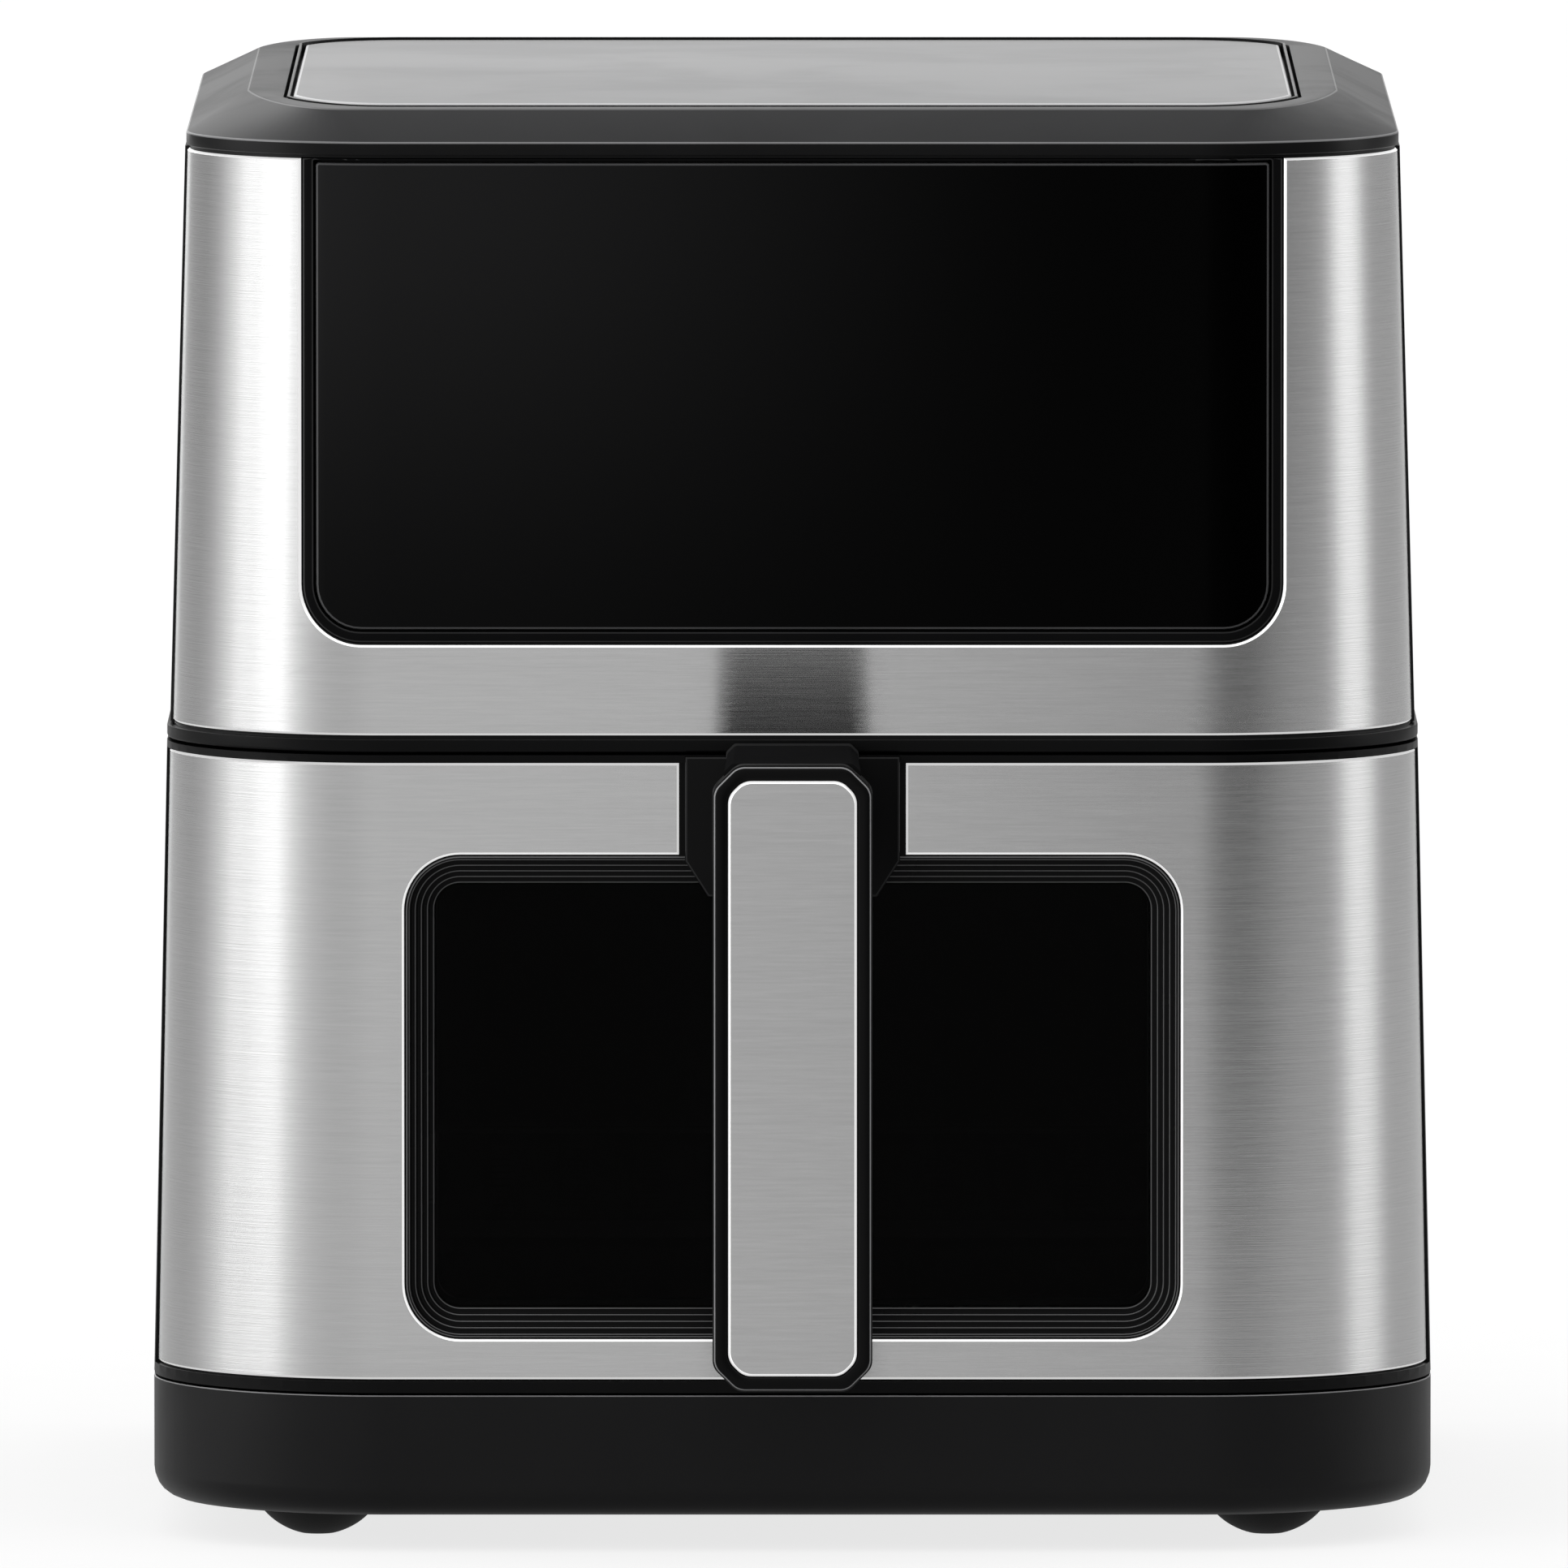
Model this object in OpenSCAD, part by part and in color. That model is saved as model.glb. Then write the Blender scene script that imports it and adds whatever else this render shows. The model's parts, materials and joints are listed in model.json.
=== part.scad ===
// Drawer air fryer with a window in the drawer front and a touch panel above it.
// Millimetres, +Z up, front towards -Y. The origin is the bottom centre of the whole object.

/* [Body] */
// Width of the base
body_w = 297.5; // [285:0.5:320]
// Depth from the front face to the rear wall
body_d = 315; // [305:1:345]
// Corner radius of the base in plan
corner_r = 54; // [48:1:60]
// Height of the rubber feet
foot_h = 8.1; // [6:0.1:14]
// Height of the base
base_h = 28.4; // [24:0.1:36]
// Rounding of the lower edge of the base
base_round = 7; // [4:0.5:9]
// Height of the drawer bay, from the base to the seam ring
bay_h = 149.3; // [147:0.1:165]
// Height of the seam ring
ring_h = 3.6; // [3:0.1:6]
// Height of the upper shell
upper_h = 134; // [130:0.5:150]
// How far each side leans in over the drawer bay
bay_lean = 3.3; // [0:0.1:6]
// How far each side leans in over the upper shell
upper_lean = 3.7; // [0:0.1:6]
// Step in from the seam ring to the upper shell
upper_step = 0.7; // [0.3:0.1:1.5]
// Wall of the moulded shells
shell_t = 3; // [2:0.1:4]
// Width of the dark shadow line at a seam
shadow_w = 0.6; // [0.3:0.1:1]
// Depth of the dark shadow line at a seam
shadow_d = 1.2; // [0.8:0.1:2]

/* [Lid] */
// Height of the upright rim of the lid
lid_rim_h = 3; // [2:0.1:5]
// Rise of the sloping edge of the lid
lid_slope_h = 7; // [4:0.1:10]
// Width of the sloping edge of the lid
lid_slope_w = 14; // [10:0.5:18]
// Corner radius of the flat top of the lid
lid_top_r = 30; // [22:1:34]
// Width of the flat border around the top panel
lid_border_w = 8.4; // [6:0.1:12]
// Gap around the top panel
lid_groove_w = 2.3; // [1.8:0.1:4]
// Depth of the recess that holds the top panel
lid_recess_d = 3; // [2:0.1:5]
// How far the top panel stands above the lid
top_panel_proud = 0.6; // [0:0.1:2]

/* [Steel skins] */
// Thickness of the steel sheet
steel_t = 0.6; // [0.4:0.1:1]
// How far the steel lies below the plastic around it
steel_set = 0.6; // [0.3:0.1:1]
// Depth of the steel from front to back at the sides
steel_wrap = 49; // [40:1:50]

/* [Touch panel] */
// Distance of the panel's opening from the side of the base
panel_side = 34.95; // [34:0.05:60]
// Height of the lower edge of the opening above the seam ring
panel_sill = 21.2; // [15:0.2:40]
// Corner radius of the opening
panel_r = 14; // [8:0.5:20]
// Visible width of the bezel
bezel_w = 2.7; // [2:0.1:5]
// Gap between steel and bezel, and between bezel and glass
bezel_gap = 0.5; // [0.3:0.1:1]
// Thickness of the touch glass
touch_glass_t = 3; // [2:0.1:4]

/* [Drawer front] */
// Depth of the drawer front at the sides
wrap_d = 52; // [50:1:56]
// Running gap around the drawer front
drawer_gap = 0.6; // [0.4:0.1:1]
// Height of the lower plastic rim of the drawer front
drawer_low_rim = 3.1; // [2:0.1:6]
// Height of the upper plastic rim of the drawer front
drawer_top_rim = 1.9; // [1.2:0.1:4]
// Distance of the window opening from the side of the base
window_side = 58.9; // [57.5:0.1:80]
// Height of the steel below the window
window_sill = 9.3; // [8:0.1:16]
// Height of the steel above the window
window_head = 21.2; // [18:0.1:40]
// Corner radius of the window opening
window_r = 13; // [9:0.5:18]
// Number of steps in the window frame
window_steps = 5; // [3:1:6]
// Width of each step of the window frame
window_step_w = 1.4; // [1:0.1:1.6]
// Depth of each step of the window frame
window_step_d = 1.2; // [0.8:0.1:1.6]
// Thickness of the window panes
pane_t = 3; // [2:0.1:4]

/* [Handle] */
// How far the handle face stands in front of the drawer
handle_reach = 46; // [40:1:60]
// Width of the grip
grip_w = 36.8; // [30:0.2:44]
// Thickness of the grip
grip_t = 13; // [9:0.5:18]
// Length of the grip
grip_h = 143.9; // [110:0.1:146]
// Corner cut of the grip
grip_cut = 5.6; // [3:0.1:8]
// Bevel around the face of the grip
grip_bevel = 0.9; // [0.4:0.1:2]
// Plastic border around the steel inlay
inlay_border = 3.6; // [2.5:0.1:6]
// Width of the bracket behind the handle
bracket_w = 49.7; // [44:0.1:60]
// How far the bracket stands in front of the drawer
bracket_proud = 1.5; // [1:0.1:3]
// Width of the neck at the bracket
neck_w = 30; // [24:0.5:34]
// Height of the neck
neck_h = 18; // [14:0.5:22]
// Rise of the neck above the grip at the bracket
neck_rise = 2; // [0:0.1:2.5]

/* [Pan and plate] */
// Distance of the pan from the side of the base
pan_side = 33.75; // [31:0.25:36]
// Distance of the pan from the rear face of the body
pan_rear = 37.7; // [36:0.1:50]
// Free height above the pan's rim, under the edge of the bay
pan_head = 13.5; // [10:0.5:16]
// Sheet thickness of the pan
pan_t = 1.5; // [1:0.1:2.5]
// Upright corner radius of the pan
pan_r = 24; // [16:1:26]
// Rounding between the pan's floor and walls
pan_floor_r = 7; // [5:0.5:7]
// Gap between pan and cavity liner
pan_gap = 4; // [3.4:0.1:6]
// Width of the turned-out rim of the pan
pan_rim = 2.5; // [1.5:0.1:3]
// Gap between the crisper plate and the pan's wall
plate_gap = 5; // [3:0.5:10]
// Thickness of the crisper plate
plate_t = 2.5; // [1.5:0.1:4]
// Height of the crisper plate above the pan's floor
plate_lift_h = 24; // [18:1:30]
// Radius of the holes in the crisper plate
plate_hole_r = 3.2; // [2:0.1:4]

/* [Cavity and heater] */
// Sheet thickness of the cavity liner
liner_t = 1; // [0.8:0.1:1.5]
// Height of the liner's roof above the seam ring
liner_rise = 12.2; // [10:0.2:20]
// Thickness of the insulation blanket
blanket_t = 6; // [4:0.5:8]
// Depth of the outlet riser behind the heater dome
riser_w = 17.8; // [12:0.2:22]
// Distance of the heater dome from the front of the liner
dome_front = 12; // [8:0.5:16]
// Height of the heater dome
dome_h = 18; // [15:0.5:24]
// Radius of the heating element's tube
element_r = 3.3; // [2.5:0.1:4]
// Spacing of the turns of the heating element
element_pitch = 12; // [10:0.5:13]
// Gap between the hot-air fan and the heating element
fan_gap = 4.7; // [3:0.1:8]
// Radius of the motor shaft
shaft_r = 4; // [3:0.1:5]
// Radius of the cooling fan
cool_fan_r = 52; // [40:1:60]

/* [Rear] */
// How far the rear vent cover stands out of the rear wall
vent_proud = 8; // [5:0.5:15]
// Width of the rear vent cover
vent_w = 130; // [100:1:150]
// Height of the rear vent cover
vent_h = 78; // [60:1:90]
// Radius of the hole for the mains cord
cord_r = 3.7; // [3:0.1:5]
// Length of the cord inlet
gland_len = 14; // [10:0.5:20]

/* [Hidden] */

$fn = 48;
// Segments of each plan corner
corner_steps = 14;
// Overshoot of a cut past the face that it opens
cut = 1;
// Gap between pieces that are fitted together
fit = 0.1;
// Gap between a moving piece and what it runs on
run = 0.3;

// Levels, from the floor up
z_base = foot_h;
z_low = z_base + base_h;
z_ring = z_low + bay_h;
z_up = z_ring + ring_h;
z_lid = z_up + upper_h;
z_top = z_lid + shadow_w + lid_rim_h + lid_slope_h;

// Widths that leave the named room at each side
panel_w = body_w - 2 * panel_side;
window_w = body_w - 2 * window_side;
pan_w = body_w - 2 * pan_side;

// The whole object lies evenly about the origin from front to back
front_y = handle_reach - (handle_reach + body_d + vent_proud) / 2;
back_y = front_y + body_d;

// Places measured back from the front face
function behind(d) = front_y + d;

// Half width of the body at a height
function half_w(z) =
    z <= z_low ? body_w / 2
    : z <= z_ring ? body_w / 2 - bay_lean * (z - z_low) / bay_h
    : body_w / 2 - bay_lean - upper_step - upper_lean * (z - z_up) / upper_h;

// Points of a rounded rectangle, anticlockwise, corner by corner
function rounded(hw, y0, y1, r) = [
    for (c = [[1, 1, 0], [-1, 1, 90], [-1, -1, 180], [1, -1, 270]])
        for (k = [0:corner_steps])
            let (a = c[2] + 90 * k / corner_steps)
            [c[0] * (hw - r) + r * cos(a), (c[1] > 0 ? y1 - r : y0 + r) + r * sin(a)]
];

// Plan outline of the body at a height, moved inwards by inset
function section(z, inset) =
    let (hw = half_w(z), step = z > z_ring ? upper_step : 0)
    rounded(hw - inset, front_y + step + inset, back_y - step - inset, corner_r - (body_w / 2 - hw) - inset);

// Solid through a stack of outlines, each given as [z, points]
module loft(levels) {
    n = len(levels[0][1]);
    last = len(levels) - 1;
    points = [for (l = levels) for (p = l[1]) [p[0], p[1], l[0]]];
    sides = [
        for (k = [0:last - 1])
            for (i = [0:n - 1])
                let (a = k * n + i, b = k * n + (i + 1) % n)
                for (f = [[a, a + n, b + n], [a, b + n, b]]) f
    ];
    caps = [[for (i = [0:n - 1]) i], [for (i = [n - 1:-1:0]) last * n + i]];
    polyhedron(points, concat(caps, sides));
}

// Solid that follows the leaning sides between two heights
module leaning(z0, z1, inset, over = 0) {
    loft([[z0 - over, section(z0, inset)], [z1 + over, section(z1, inset)]]);
}

// Box between two corners
module span(p, q) {
    translate(p) cube(q - p);
}

// Everything in front of a distance behind the front face
module front_part(d) {
    intersection() {
        children();
        span([-body_w, front_y - handle_reach, -cut], [body_w, behind(d), z_top + cut]);
    }
}

// Flat outline in the front view, drawn as a prism between two depths behind the front face
module front_prism(d0, d1) {
    translate([0, behind(d1), 0])
        rotate([90, 0, 0])
            linear_extrude(d1 - d0)
                children();
}

// Rounded rectangle in the front view, between two heights
module front_rect(w, z0, z1, r) {
    translate([-w / 2 + r, z0 + r])
        offset(r)
            square([w - 2 * r, z1 - z0 - 2 * r]);
}

// Cylinder along Y, between two depths behind the front face
module bore_y(x, z, d0, d1, r) {
    translate([x, behind(d0), z])
        rotate([-90, 0, 0])
            cylinder(h = d1 - d0, r = r);
}

// Cylinder along X
module bore_x(x0, x1, y, z, r) {
    translate([x0, y, z])
        rotate([0, 90, 0])
            cylinder(h = x1 - x0, r = r);
}

// ---------- Base ----------

foot_r = 12.4;
foot_side = 38.25;
foot_x = body_w / 2 - foot_side;
foot_in = 47;
foot_flat_r = 6.5;
foot_bulge = 1.6;
foot_stem_r = 3.5;
foot_head_r = 4.6;
foot_head_h = 2;
foot_ys = [front_y + foot_in, back_y - foot_in];
post_r = 6;
post_in = 11;
post_ys = [behind(wrap_d + 18), behind(body_d / 2), back_y - corner_r];
screw_r = 1.7;
screw_head_r = 3.6;
screw_head_h = 2.4;
boss_h = 16;
intake_slots = 9;
intake_pitch = 12;

// Levels of the base's rounded lower edge, for a wall that lies wall inside the outer face
function base_levels(wall, top) = concat(
    [
        for (k = [0:6])
            let (a = 15 * k, r = base_round - wall)
            [z_base + wall + r * (1 - cos(a)), section(z_base, wall + r * (1 - sin(a)))]
    ],
    [[top, section(z_base, wall)]]
);

module at_feet() {
    for (x = [-foot_x, foot_x])
        for (y = foot_ys)
            translate([x, y, 0]) children();
}

module at_posts() {
    for (s = [-1, 1])
        for (y = post_ys)
            translate([s * (body_w / 2 - post_in), y, 0]) children();
}

module base_tray() {
    color("#1c1c1e")
    difference() {
        union() {
            difference() {
                loft(base_levels(0, z_low));
                loft(base_levels(shell_t, z_low + cut));
            }
            at_posts()
                translate([0, 0, z_base + 1])
                    cylinder(h = base_h - 1, r = post_r);
        }
        at_posts() {
            translate([0, 0, z_base - cut]) cylinder(h = base_h + 2 * cut, r = screw_r + fit);
            translate([0, 0, z_base - cut]) cylinder(h = cut + base_h / 2, r = screw_head_r + 4 * fit);
        }
        at_feet()
            translate([0, 0, z_base - cut])
                cylinder(h = shell_t + 2 * cut, r = foot_stem_r + fit);
        for (k = [0:intake_slots - 1])
            translate([(k - (intake_slots - 1) / 2) * intake_pitch - 2, behind(body_d / 2) - 35, z_base - cut])
                cube([4, 70, shell_t + 2 * cut]);
    }
}

// Bowl-shaped foot with a stem that snaps through the base's floor
module rubber_feet() {
    bowl = [
        for (k = [0:8])
            let (t = k / 8)
            [foot_flat_r + (foot_r - foot_flat_r) * t, foot_h * pow(t, foot_bulge)]
    ];
    stem_top = foot_h + shell_t + fit;
    color("#111111")
    at_feet()
        rotate_extrude()
            polygon(concat([[0, 0]], bowl, [
                [foot_stem_r, foot_h], [foot_stem_r, stem_top], [foot_head_r, stem_top],
                [foot_stem_r, stem_top + foot_head_h], [0, stem_top + foot_head_h]
            ]));
}

// Screws that hold the base to the lower shell, driven from below
module base_screws() {
    head_z = z_base + base_h / 2 - screw_head_h;
    color("#8a8a8a")
    at_posts() {
        translate([0, 0, head_z]) cylinder(h = screw_head_h, r = screw_head_r);
        translate([0, 0, head_z]) cylinder(h = base_h / 2 + screw_head_h + boss_h - 3, r = screw_r);
    }
}

// ---------- Lower shell, bulkhead and seam ring ----------

shell_front = wrap_d + drawer_gap;
gland_side = 68.75;
gland_x = body_w / 2 - gland_side;
gland_up = 24;
gland_z = z_low + gland_up;
gland_r = 9;

// Takes a shadow line out of a leaning wall between two heights
module shadow_line(z0, z1) {
    difference() {
        leaning(z0, z1, -cut);
        leaning(z0, z1, shadow_d, cut);
    }
}

// Side walls and rear wall around the drawer bay
module lower_shell() {
    color("#19191b")
    difference() {
        union() {
            difference() {
                leaning(z_low, z_ring, 0);
                leaning(z_low, z_ring, shell_t, cut);
                shadow_line(z_low, z_low + shadow_w);
                shadow_line(z_ring - shadow_w, z_ring);
                span([-body_w, front_y - cut, z_low - 2 * cut], [body_w, behind(shell_front), z_ring + 2 * cut]);
            }
            intersection() {
                leaning(z_low, z_ring, shell_t / 2);
                for (s = [-1, 1])
                    for (y = post_ys)
                        translate([s * (body_w / 2 - post_in), y, z_low + boss_h / 2])
                            translate([s * (post_in - post_r) / 2, 0, 0])
                                cube([post_r + post_in, 2 * post_r, boss_h], center = true);
            }
        }
        at_posts()
            translate([0, 0, z_low - cut])
                cylinder(h = boss_h + 2 * cut, r = screw_r + fit);
        bore_y(gland_x, gland_z, body_d - 2 * shell_t, body_d + cut, gland_r + fit);
    }
}

bulkhead_t = 3;
bulkhead_front = shell_front + 0.4;
bulkhead_back = bulkhead_front + bulkhead_t;
pan_hw = pan_w / 2;
liner_hw = pan_hw + pan_gap + liner_t;
liner_z0 = z_low + 4.5;
liner_z1 = z_up + liner_rise;
bay_z1 = z_ring - 4;
bay_r = 1;
switch_x = -(liner_hw + blanket_t + 5.5);
switch_z = z_low + 70;
plunger_r = 1.6;

// Upright frame behind the drawer front, with the opening that the pan slides through
module front_bulkhead() {
    color("#202022")
    difference() {
        intersection() {
            leaning(z_low, z_ring, shell_t + fit);
            span([-body_w, behind(bulkhead_front), z_low], [body_w, behind(bulkhead_back), z_ring]);
        }
        front_prism(bulkhead_front - cut, bulkhead_back + cut)
            front_rect(2 * (liner_hw - liner_t), liner_z0 + liner_t, bay_z1, bay_r);
        bore_y(switch_x, switch_z, bulkhead_front - cut, bulkhead_back + cut, plunger_r + run);
    }
}

ring_in = 9;
ring_edge = 0.4;

// Trim ring on the seam between the drawer bay and the upper shell
module seam_ring() {
    color("#161617")
    difference() {
        loft([
            [z_ring, section(z_ring, ring_edge)],
            [z_ring + ring_edge, section(z_ring, 0)],
            [z_up - shadow_w, section(z_ring, 0)],
            [z_up - shadow_w, section(z_ring, upper_step + shadow_d)],
            [z_up, section(z_ring, upper_step + shadow_d)]
        ]);
        loft([[z_ring - cut, section(z_ring, ring_in)], [z_up + cut, section(z_ring, ring_in)]]);
    }
}

// ---------- Upper shell, steel skin and touch panel ----------

skin_in = steel_set + steel_t;
skin_seat = skin_in + 0.05;
skin_z0 = z_up + 0.3;
skin_z1 = z_lid - 0.3;
front_wall = skin_seat + shell_t;
panel_z0 = z_up + panel_sill;
vent_z0 = liner_z1 + 24;
vent_screw_in = 6;
duct_w = 84;
duct_h = 36;
duct_z0 = vent_z0 + 8;
duct_z1 = duct_z0 + duct_h;
duct_t = 2;
rear_face = body_d - upper_step;

// The power board stands along the right-hand wall of the upper shell
board_t = 1.6;
board_len = 100;
board_h = 75;
board_rear = 65;
board_post = 8;
board_gap = 10;
board_x = half_w(z_up + upper_h / 2) - front_wall - board_gap;
board_y1 = back_y - board_rear;
board_y0 = board_y1 - board_len;
board_z0 = liner_z1 + 22;
board_z1 = board_z0 + board_h;

module board_posts_at() {
    for (y = [board_y0 + board_post, board_y1 - board_post])
        for (z = [board_z0 + board_post, board_z1 - board_post])
            translate([board_x, y, z])
                rotate([0, 90, 0]) children();
}

module vent_screws_at() {
    for (s = [-1, 1])
        for (z = [vent_z0 + vent_screw_in, vent_z0 + vent_h - vent_screw_in])
            translate([s * (vent_w / 2 - vent_screw_in), behind(rear_face), z])
                rotate([-90, 0, 0]) children();
}

// Outline of the opening for the touch panel, moved inwards by inset, open past the top
module panel_outline(inset) {
    front_rect(panel_w - 2 * inset, panel_z0 + inset, z_lid + 2 * panel_r, panel_r - inset);
}

// Housing of the heater, the motor and the electronics
module upper_shell() {
    color("#19191b")
    difference() {
        union() {
            difference() {
                leaning(z_up, z_lid, 0);
                leaning(z_up, z_lid, front_wall, cut);
                front_part(steel_wrap)
                    difference() {
                        leaning(z_up, z_lid, -cut, cut);
                        leaning(z_up, z_lid, skin_seat, 2 * cut);
                    }
            }
            board_posts_at()
                translate([0, 0, board_t])
                    cylinder(h = board_gap + 1, r = 4);
        }
        front_prism(-cut, front_wall + 10) panel_outline(bezel_gap - fit);
        front_prism(body_d - 12, body_d + cut)
            translate([-duct_w / 2, duct_z0]) square([duct_w, duct_z1 - duct_z0]);
        vent_screws_at() translate([0, 0, -10]) cylinder(h = 12, r = screw_r + fit);
    }
}

// Brushed steel sheet around the front and the front corners
module upper_steel() {
    color("#b9babc")
    difference() {
        front_part(steel_wrap - 0.3)
            difference() {
                leaning(skin_z0, skin_z1, steel_set);
                leaning(skin_z0, skin_z1, skin_in, cut);
            }
        front_prism(-cut, wrap_d - 10) panel_outline(0);
    }
}

glass_in = bezel_w + 2 * bezel_gap;
glass_front = upper_step + steel_set;
glass_drop = 1.2;
glass_top = z_lid - glass_drop;
bezel_set = steel_set + 0.3;
bezel_depth = 10;
bezel_back = glass_front + bezel_depth;
bezel_ledge = 3;

// Front of the upper shell between two depths below its surface, which follows the rounded corners
module front_layer(d0, d1) {
    front_part(wrap_d)
        difference() {
            leaning(z_up, z_lid, d0, cut);
            leaning(z_up, z_lid, d1, 2 * cut);
        }
}

// Outline of the touch glass, moved inwards by inset
module glass_outline(inset) {
    intersection() {
        panel_outline(glass_in + inset);
        translate([-body_w, 0]) square([2 * body_w, glass_top - inset]);
    }
}

// Black frame around the touch glass, with a ledge behind the glass
module panel_bezel() {
    color("#222224")
    difference() {
        intersection() {
            front_layer(bezel_set, steel_set + bezel_depth);
            front_prism(-cut, wrap_d)
                intersection() {
                    panel_outline(bezel_gap);
                    translate([-body_w, 0]) square([2 * body_w, z_lid - fit]);
                }
        }
        intersection() {
            front_layer(0, steel_set + touch_glass_t + fit);
            front_prism(-cut, wrap_d) glass_outline(-bezel_gap);
        }
        front_prism(-cut, wrap_d) glass_outline(bezel_ledge);
    }
}

module touch_glass() {
    color("#050505")
    intersection() {
        front_layer(steel_set, steel_set + touch_glass_t);
        front_prism(-cut, wrap_d) glass_outline(0);
    }
}

carrier_d0 = bezel_back + fit;
carrier_depth = 8;
carrier_d1 = carrier_d0 + carrier_depth;
carrier_side = 15;
carrier_w = panel_w - 2 * carrier_side;
carrier_in = 22;
carrier_z0 = panel_z0 + carrier_in;
carrier_z1 = z_lid - carrier_in;
carrier_t = 2;
carrier_tab_w = 30;
carrier_post_r = 3;
carrier_post_in = 8;
control_gap = 1;
control_d0 = carrier_d0 + carrier_t;
control_d1 = control_d0 + board_t;
chip_w = 14;
chip_h = 10;
chip_t = 2;
chip_pitch = 34;
display_w = 70;
display_h = 26;
display_up = 12;
display_z = (carrier_z0 + carrier_z1) / 2 + display_up;
spring_count = 9;
spring_pitch = 20;
spring_up = 14;
spring_z = carrier_z0 + spring_up;
spring_r = 3.2;
spring_t = 0.8;

// Box in the front view, centred on x = 0, between two depths
module front_box(w, z0, z1, d0, d1) {
    span([-w / 2, behind(d0), z0], [w / 2, behind(d1), z1]);
}

// Tray that holds the control board against the back of the bezel
module board_carrier() {
    tab_x = carrier_w / 2 - carrier_tab_w;
    post_x = carrier_w / 2 - carrier_post_in;
    color("#d8d4c8") {
        difference() {
            union() {
                front_box(carrier_w, carrier_z0, carrier_z1, carrier_d0, carrier_d1);
                for (x = [-tab_x, tab_x])
                    translate([x, 0, 0])
                        front_box(carrier_tab_w, panel_z0 + bezel_ledge, z_lid - bezel_ledge, carrier_d0, carrier_d0 + carrier_t);
            }
            front_box(carrier_w - 2 * carrier_t, carrier_z0 + carrier_t, carrier_z1 - carrier_t,
                carrier_d0 - cut, carrier_d1 - carrier_t);
        }
        for (x = [-post_x, post_x])
            for (z = [carrier_z0 + carrier_post_in, carrier_z1 - carrier_post_in])
                bore_y(x, z, control_d1, carrier_d1 - carrier_t / 2, carrier_post_r);
    }
}

module control_board() {
    board_in = carrier_t + control_gap;
    color("#1d4d2b") {
        front_box(carrier_w - 2 * board_in, carrier_z0 + board_in, carrier_z1 - board_in, control_d0, control_d1);
        for (k = [-1:1])
            translate([k * chip_pitch, 0, carrier_z0 + carrier_post_in])
                front_box(chip_w, 0, chip_h, control_d1 - fit, control_d1 + chip_t);
    }
}

// Segment display behind the dark glass
module display_module() {
    color("#e8e8e8")
    front_box(display_w, display_z - display_h / 2, display_z + display_h / 2,
        glass_front + touch_glass_t + control_gap, control_d0);
}

// Contact springs between the control board and the glass
module touch_springs() {
    color("#c9b27a")
    for (k = [0:spring_count - 1])
        translate([(k - (spring_count - 1) / 2) * spring_pitch, 0, 0])
            difference() {
                bore_y(0, spring_z, glass_front + touch_glass_t + fit, control_d0, spring_r);
                bore_y(0, spring_z, glass_front + touch_glass_t - cut, control_d0 - 1, spring_r - spring_t);
            }
}

// ---------- Lid ----------

lid_in = 0.3;
lid_t = 2.5;
lid_z0 = z_lid + shadow_w;
lid_z1 = lid_z0 + lid_rim_h;
border_in = lid_in + lid_slope_w;
recess_in = border_in + lid_border_w;
panel_in = recess_in + lid_groove_w;
trim_t = 0.6;
recess_r = lid_top_r / 2 + 2;

// Plan outline on the lid, moved inwards by inset, with its own corner radius
function lid_outline(inset, r) =
    rounded(half_w(z_lid) - inset, front_y + upper_step + inset, back_y - upper_step - inset, r);

function rim_r(inset) = corner_r - (body_w / 2 - half_w(z_lid)) - inset;

// Prism between two heights with a lid outline
module lid_prism(z0, z1, inset, r) {
    loft([[z0, lid_outline(inset, r)], [z1, lid_outline(inset, r)]]);
}

// Lid with an upright rim, a sloping edge and a recess for the top panel
module lid_cover() {
    color("#3a3b3d")
    difference() {
        loft([
            [z_lid, lid_outline(shadow_d, rim_r(shadow_d))],
            [lid_z0, lid_outline(shadow_d, rim_r(shadow_d))],
            [lid_z0, lid_outline(lid_in, rim_r(lid_in))],
            [lid_z1, lid_outline(lid_in, rim_r(lid_in))],
            [z_top, lid_outline(border_in, lid_top_r)]
        ]);
        loft([
            [z_lid - cut, lid_outline(front_wall, rim_r(front_wall))],
            [lid_z1, lid_outline(front_wall, rim_r(front_wall))],
            [z_top - lid_recess_d - lid_t, lid_outline(border_in + lid_t, lid_top_r)]
        ]);
        lid_prism(z_top - lid_recess_d, z_top + cut, recess_in, recess_r);
    }
}

// Thin upright strip in the groove around the top panel
module top_trim_ring() {
    strip_in = recess_in + (lid_groove_w - trim_t) / 2;
    color("#4a4b4d")
    difference() {
        lid_prism(z_top - lid_recess_d, z_top - 0.5, strip_in, recess_r - 0.8);
        lid_prism(z_top - lid_recess_d - cut, z_top + cut, strip_in + trim_t, recess_r - 1.4);
    }
}

module top_panel() {
    color("#a9aaac")
    lid_prism(z_top - lid_recess_d, z_top + top_panel_proud, panel_in, recess_r - 2);
}

// ---------- Cavity ----------

panel_back = 21;
inner_t = 2.5;
inner_front = panel_back - inner_t;
pan_front = panel_back + run;
pan_back = body_d - pan_rear;
liner_d0 = bulkhead_back;
liner_d1 = pan_back + pan_rim + pan_gap + liner_t;
dome_gap = 2;
rail_h = 3;
rail_w = 10;
rail_x = pan_hw - 35;
pan_z = liner_z0 + liner_t + rail_h + run;
riser_d1 = liner_d1 - liner_t;
riser_d0 = riser_d1 - riser_w;
dome_flange = 8;
dome_room = riser_d0 - dome_gap - liner_d0 - dome_front;
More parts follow.
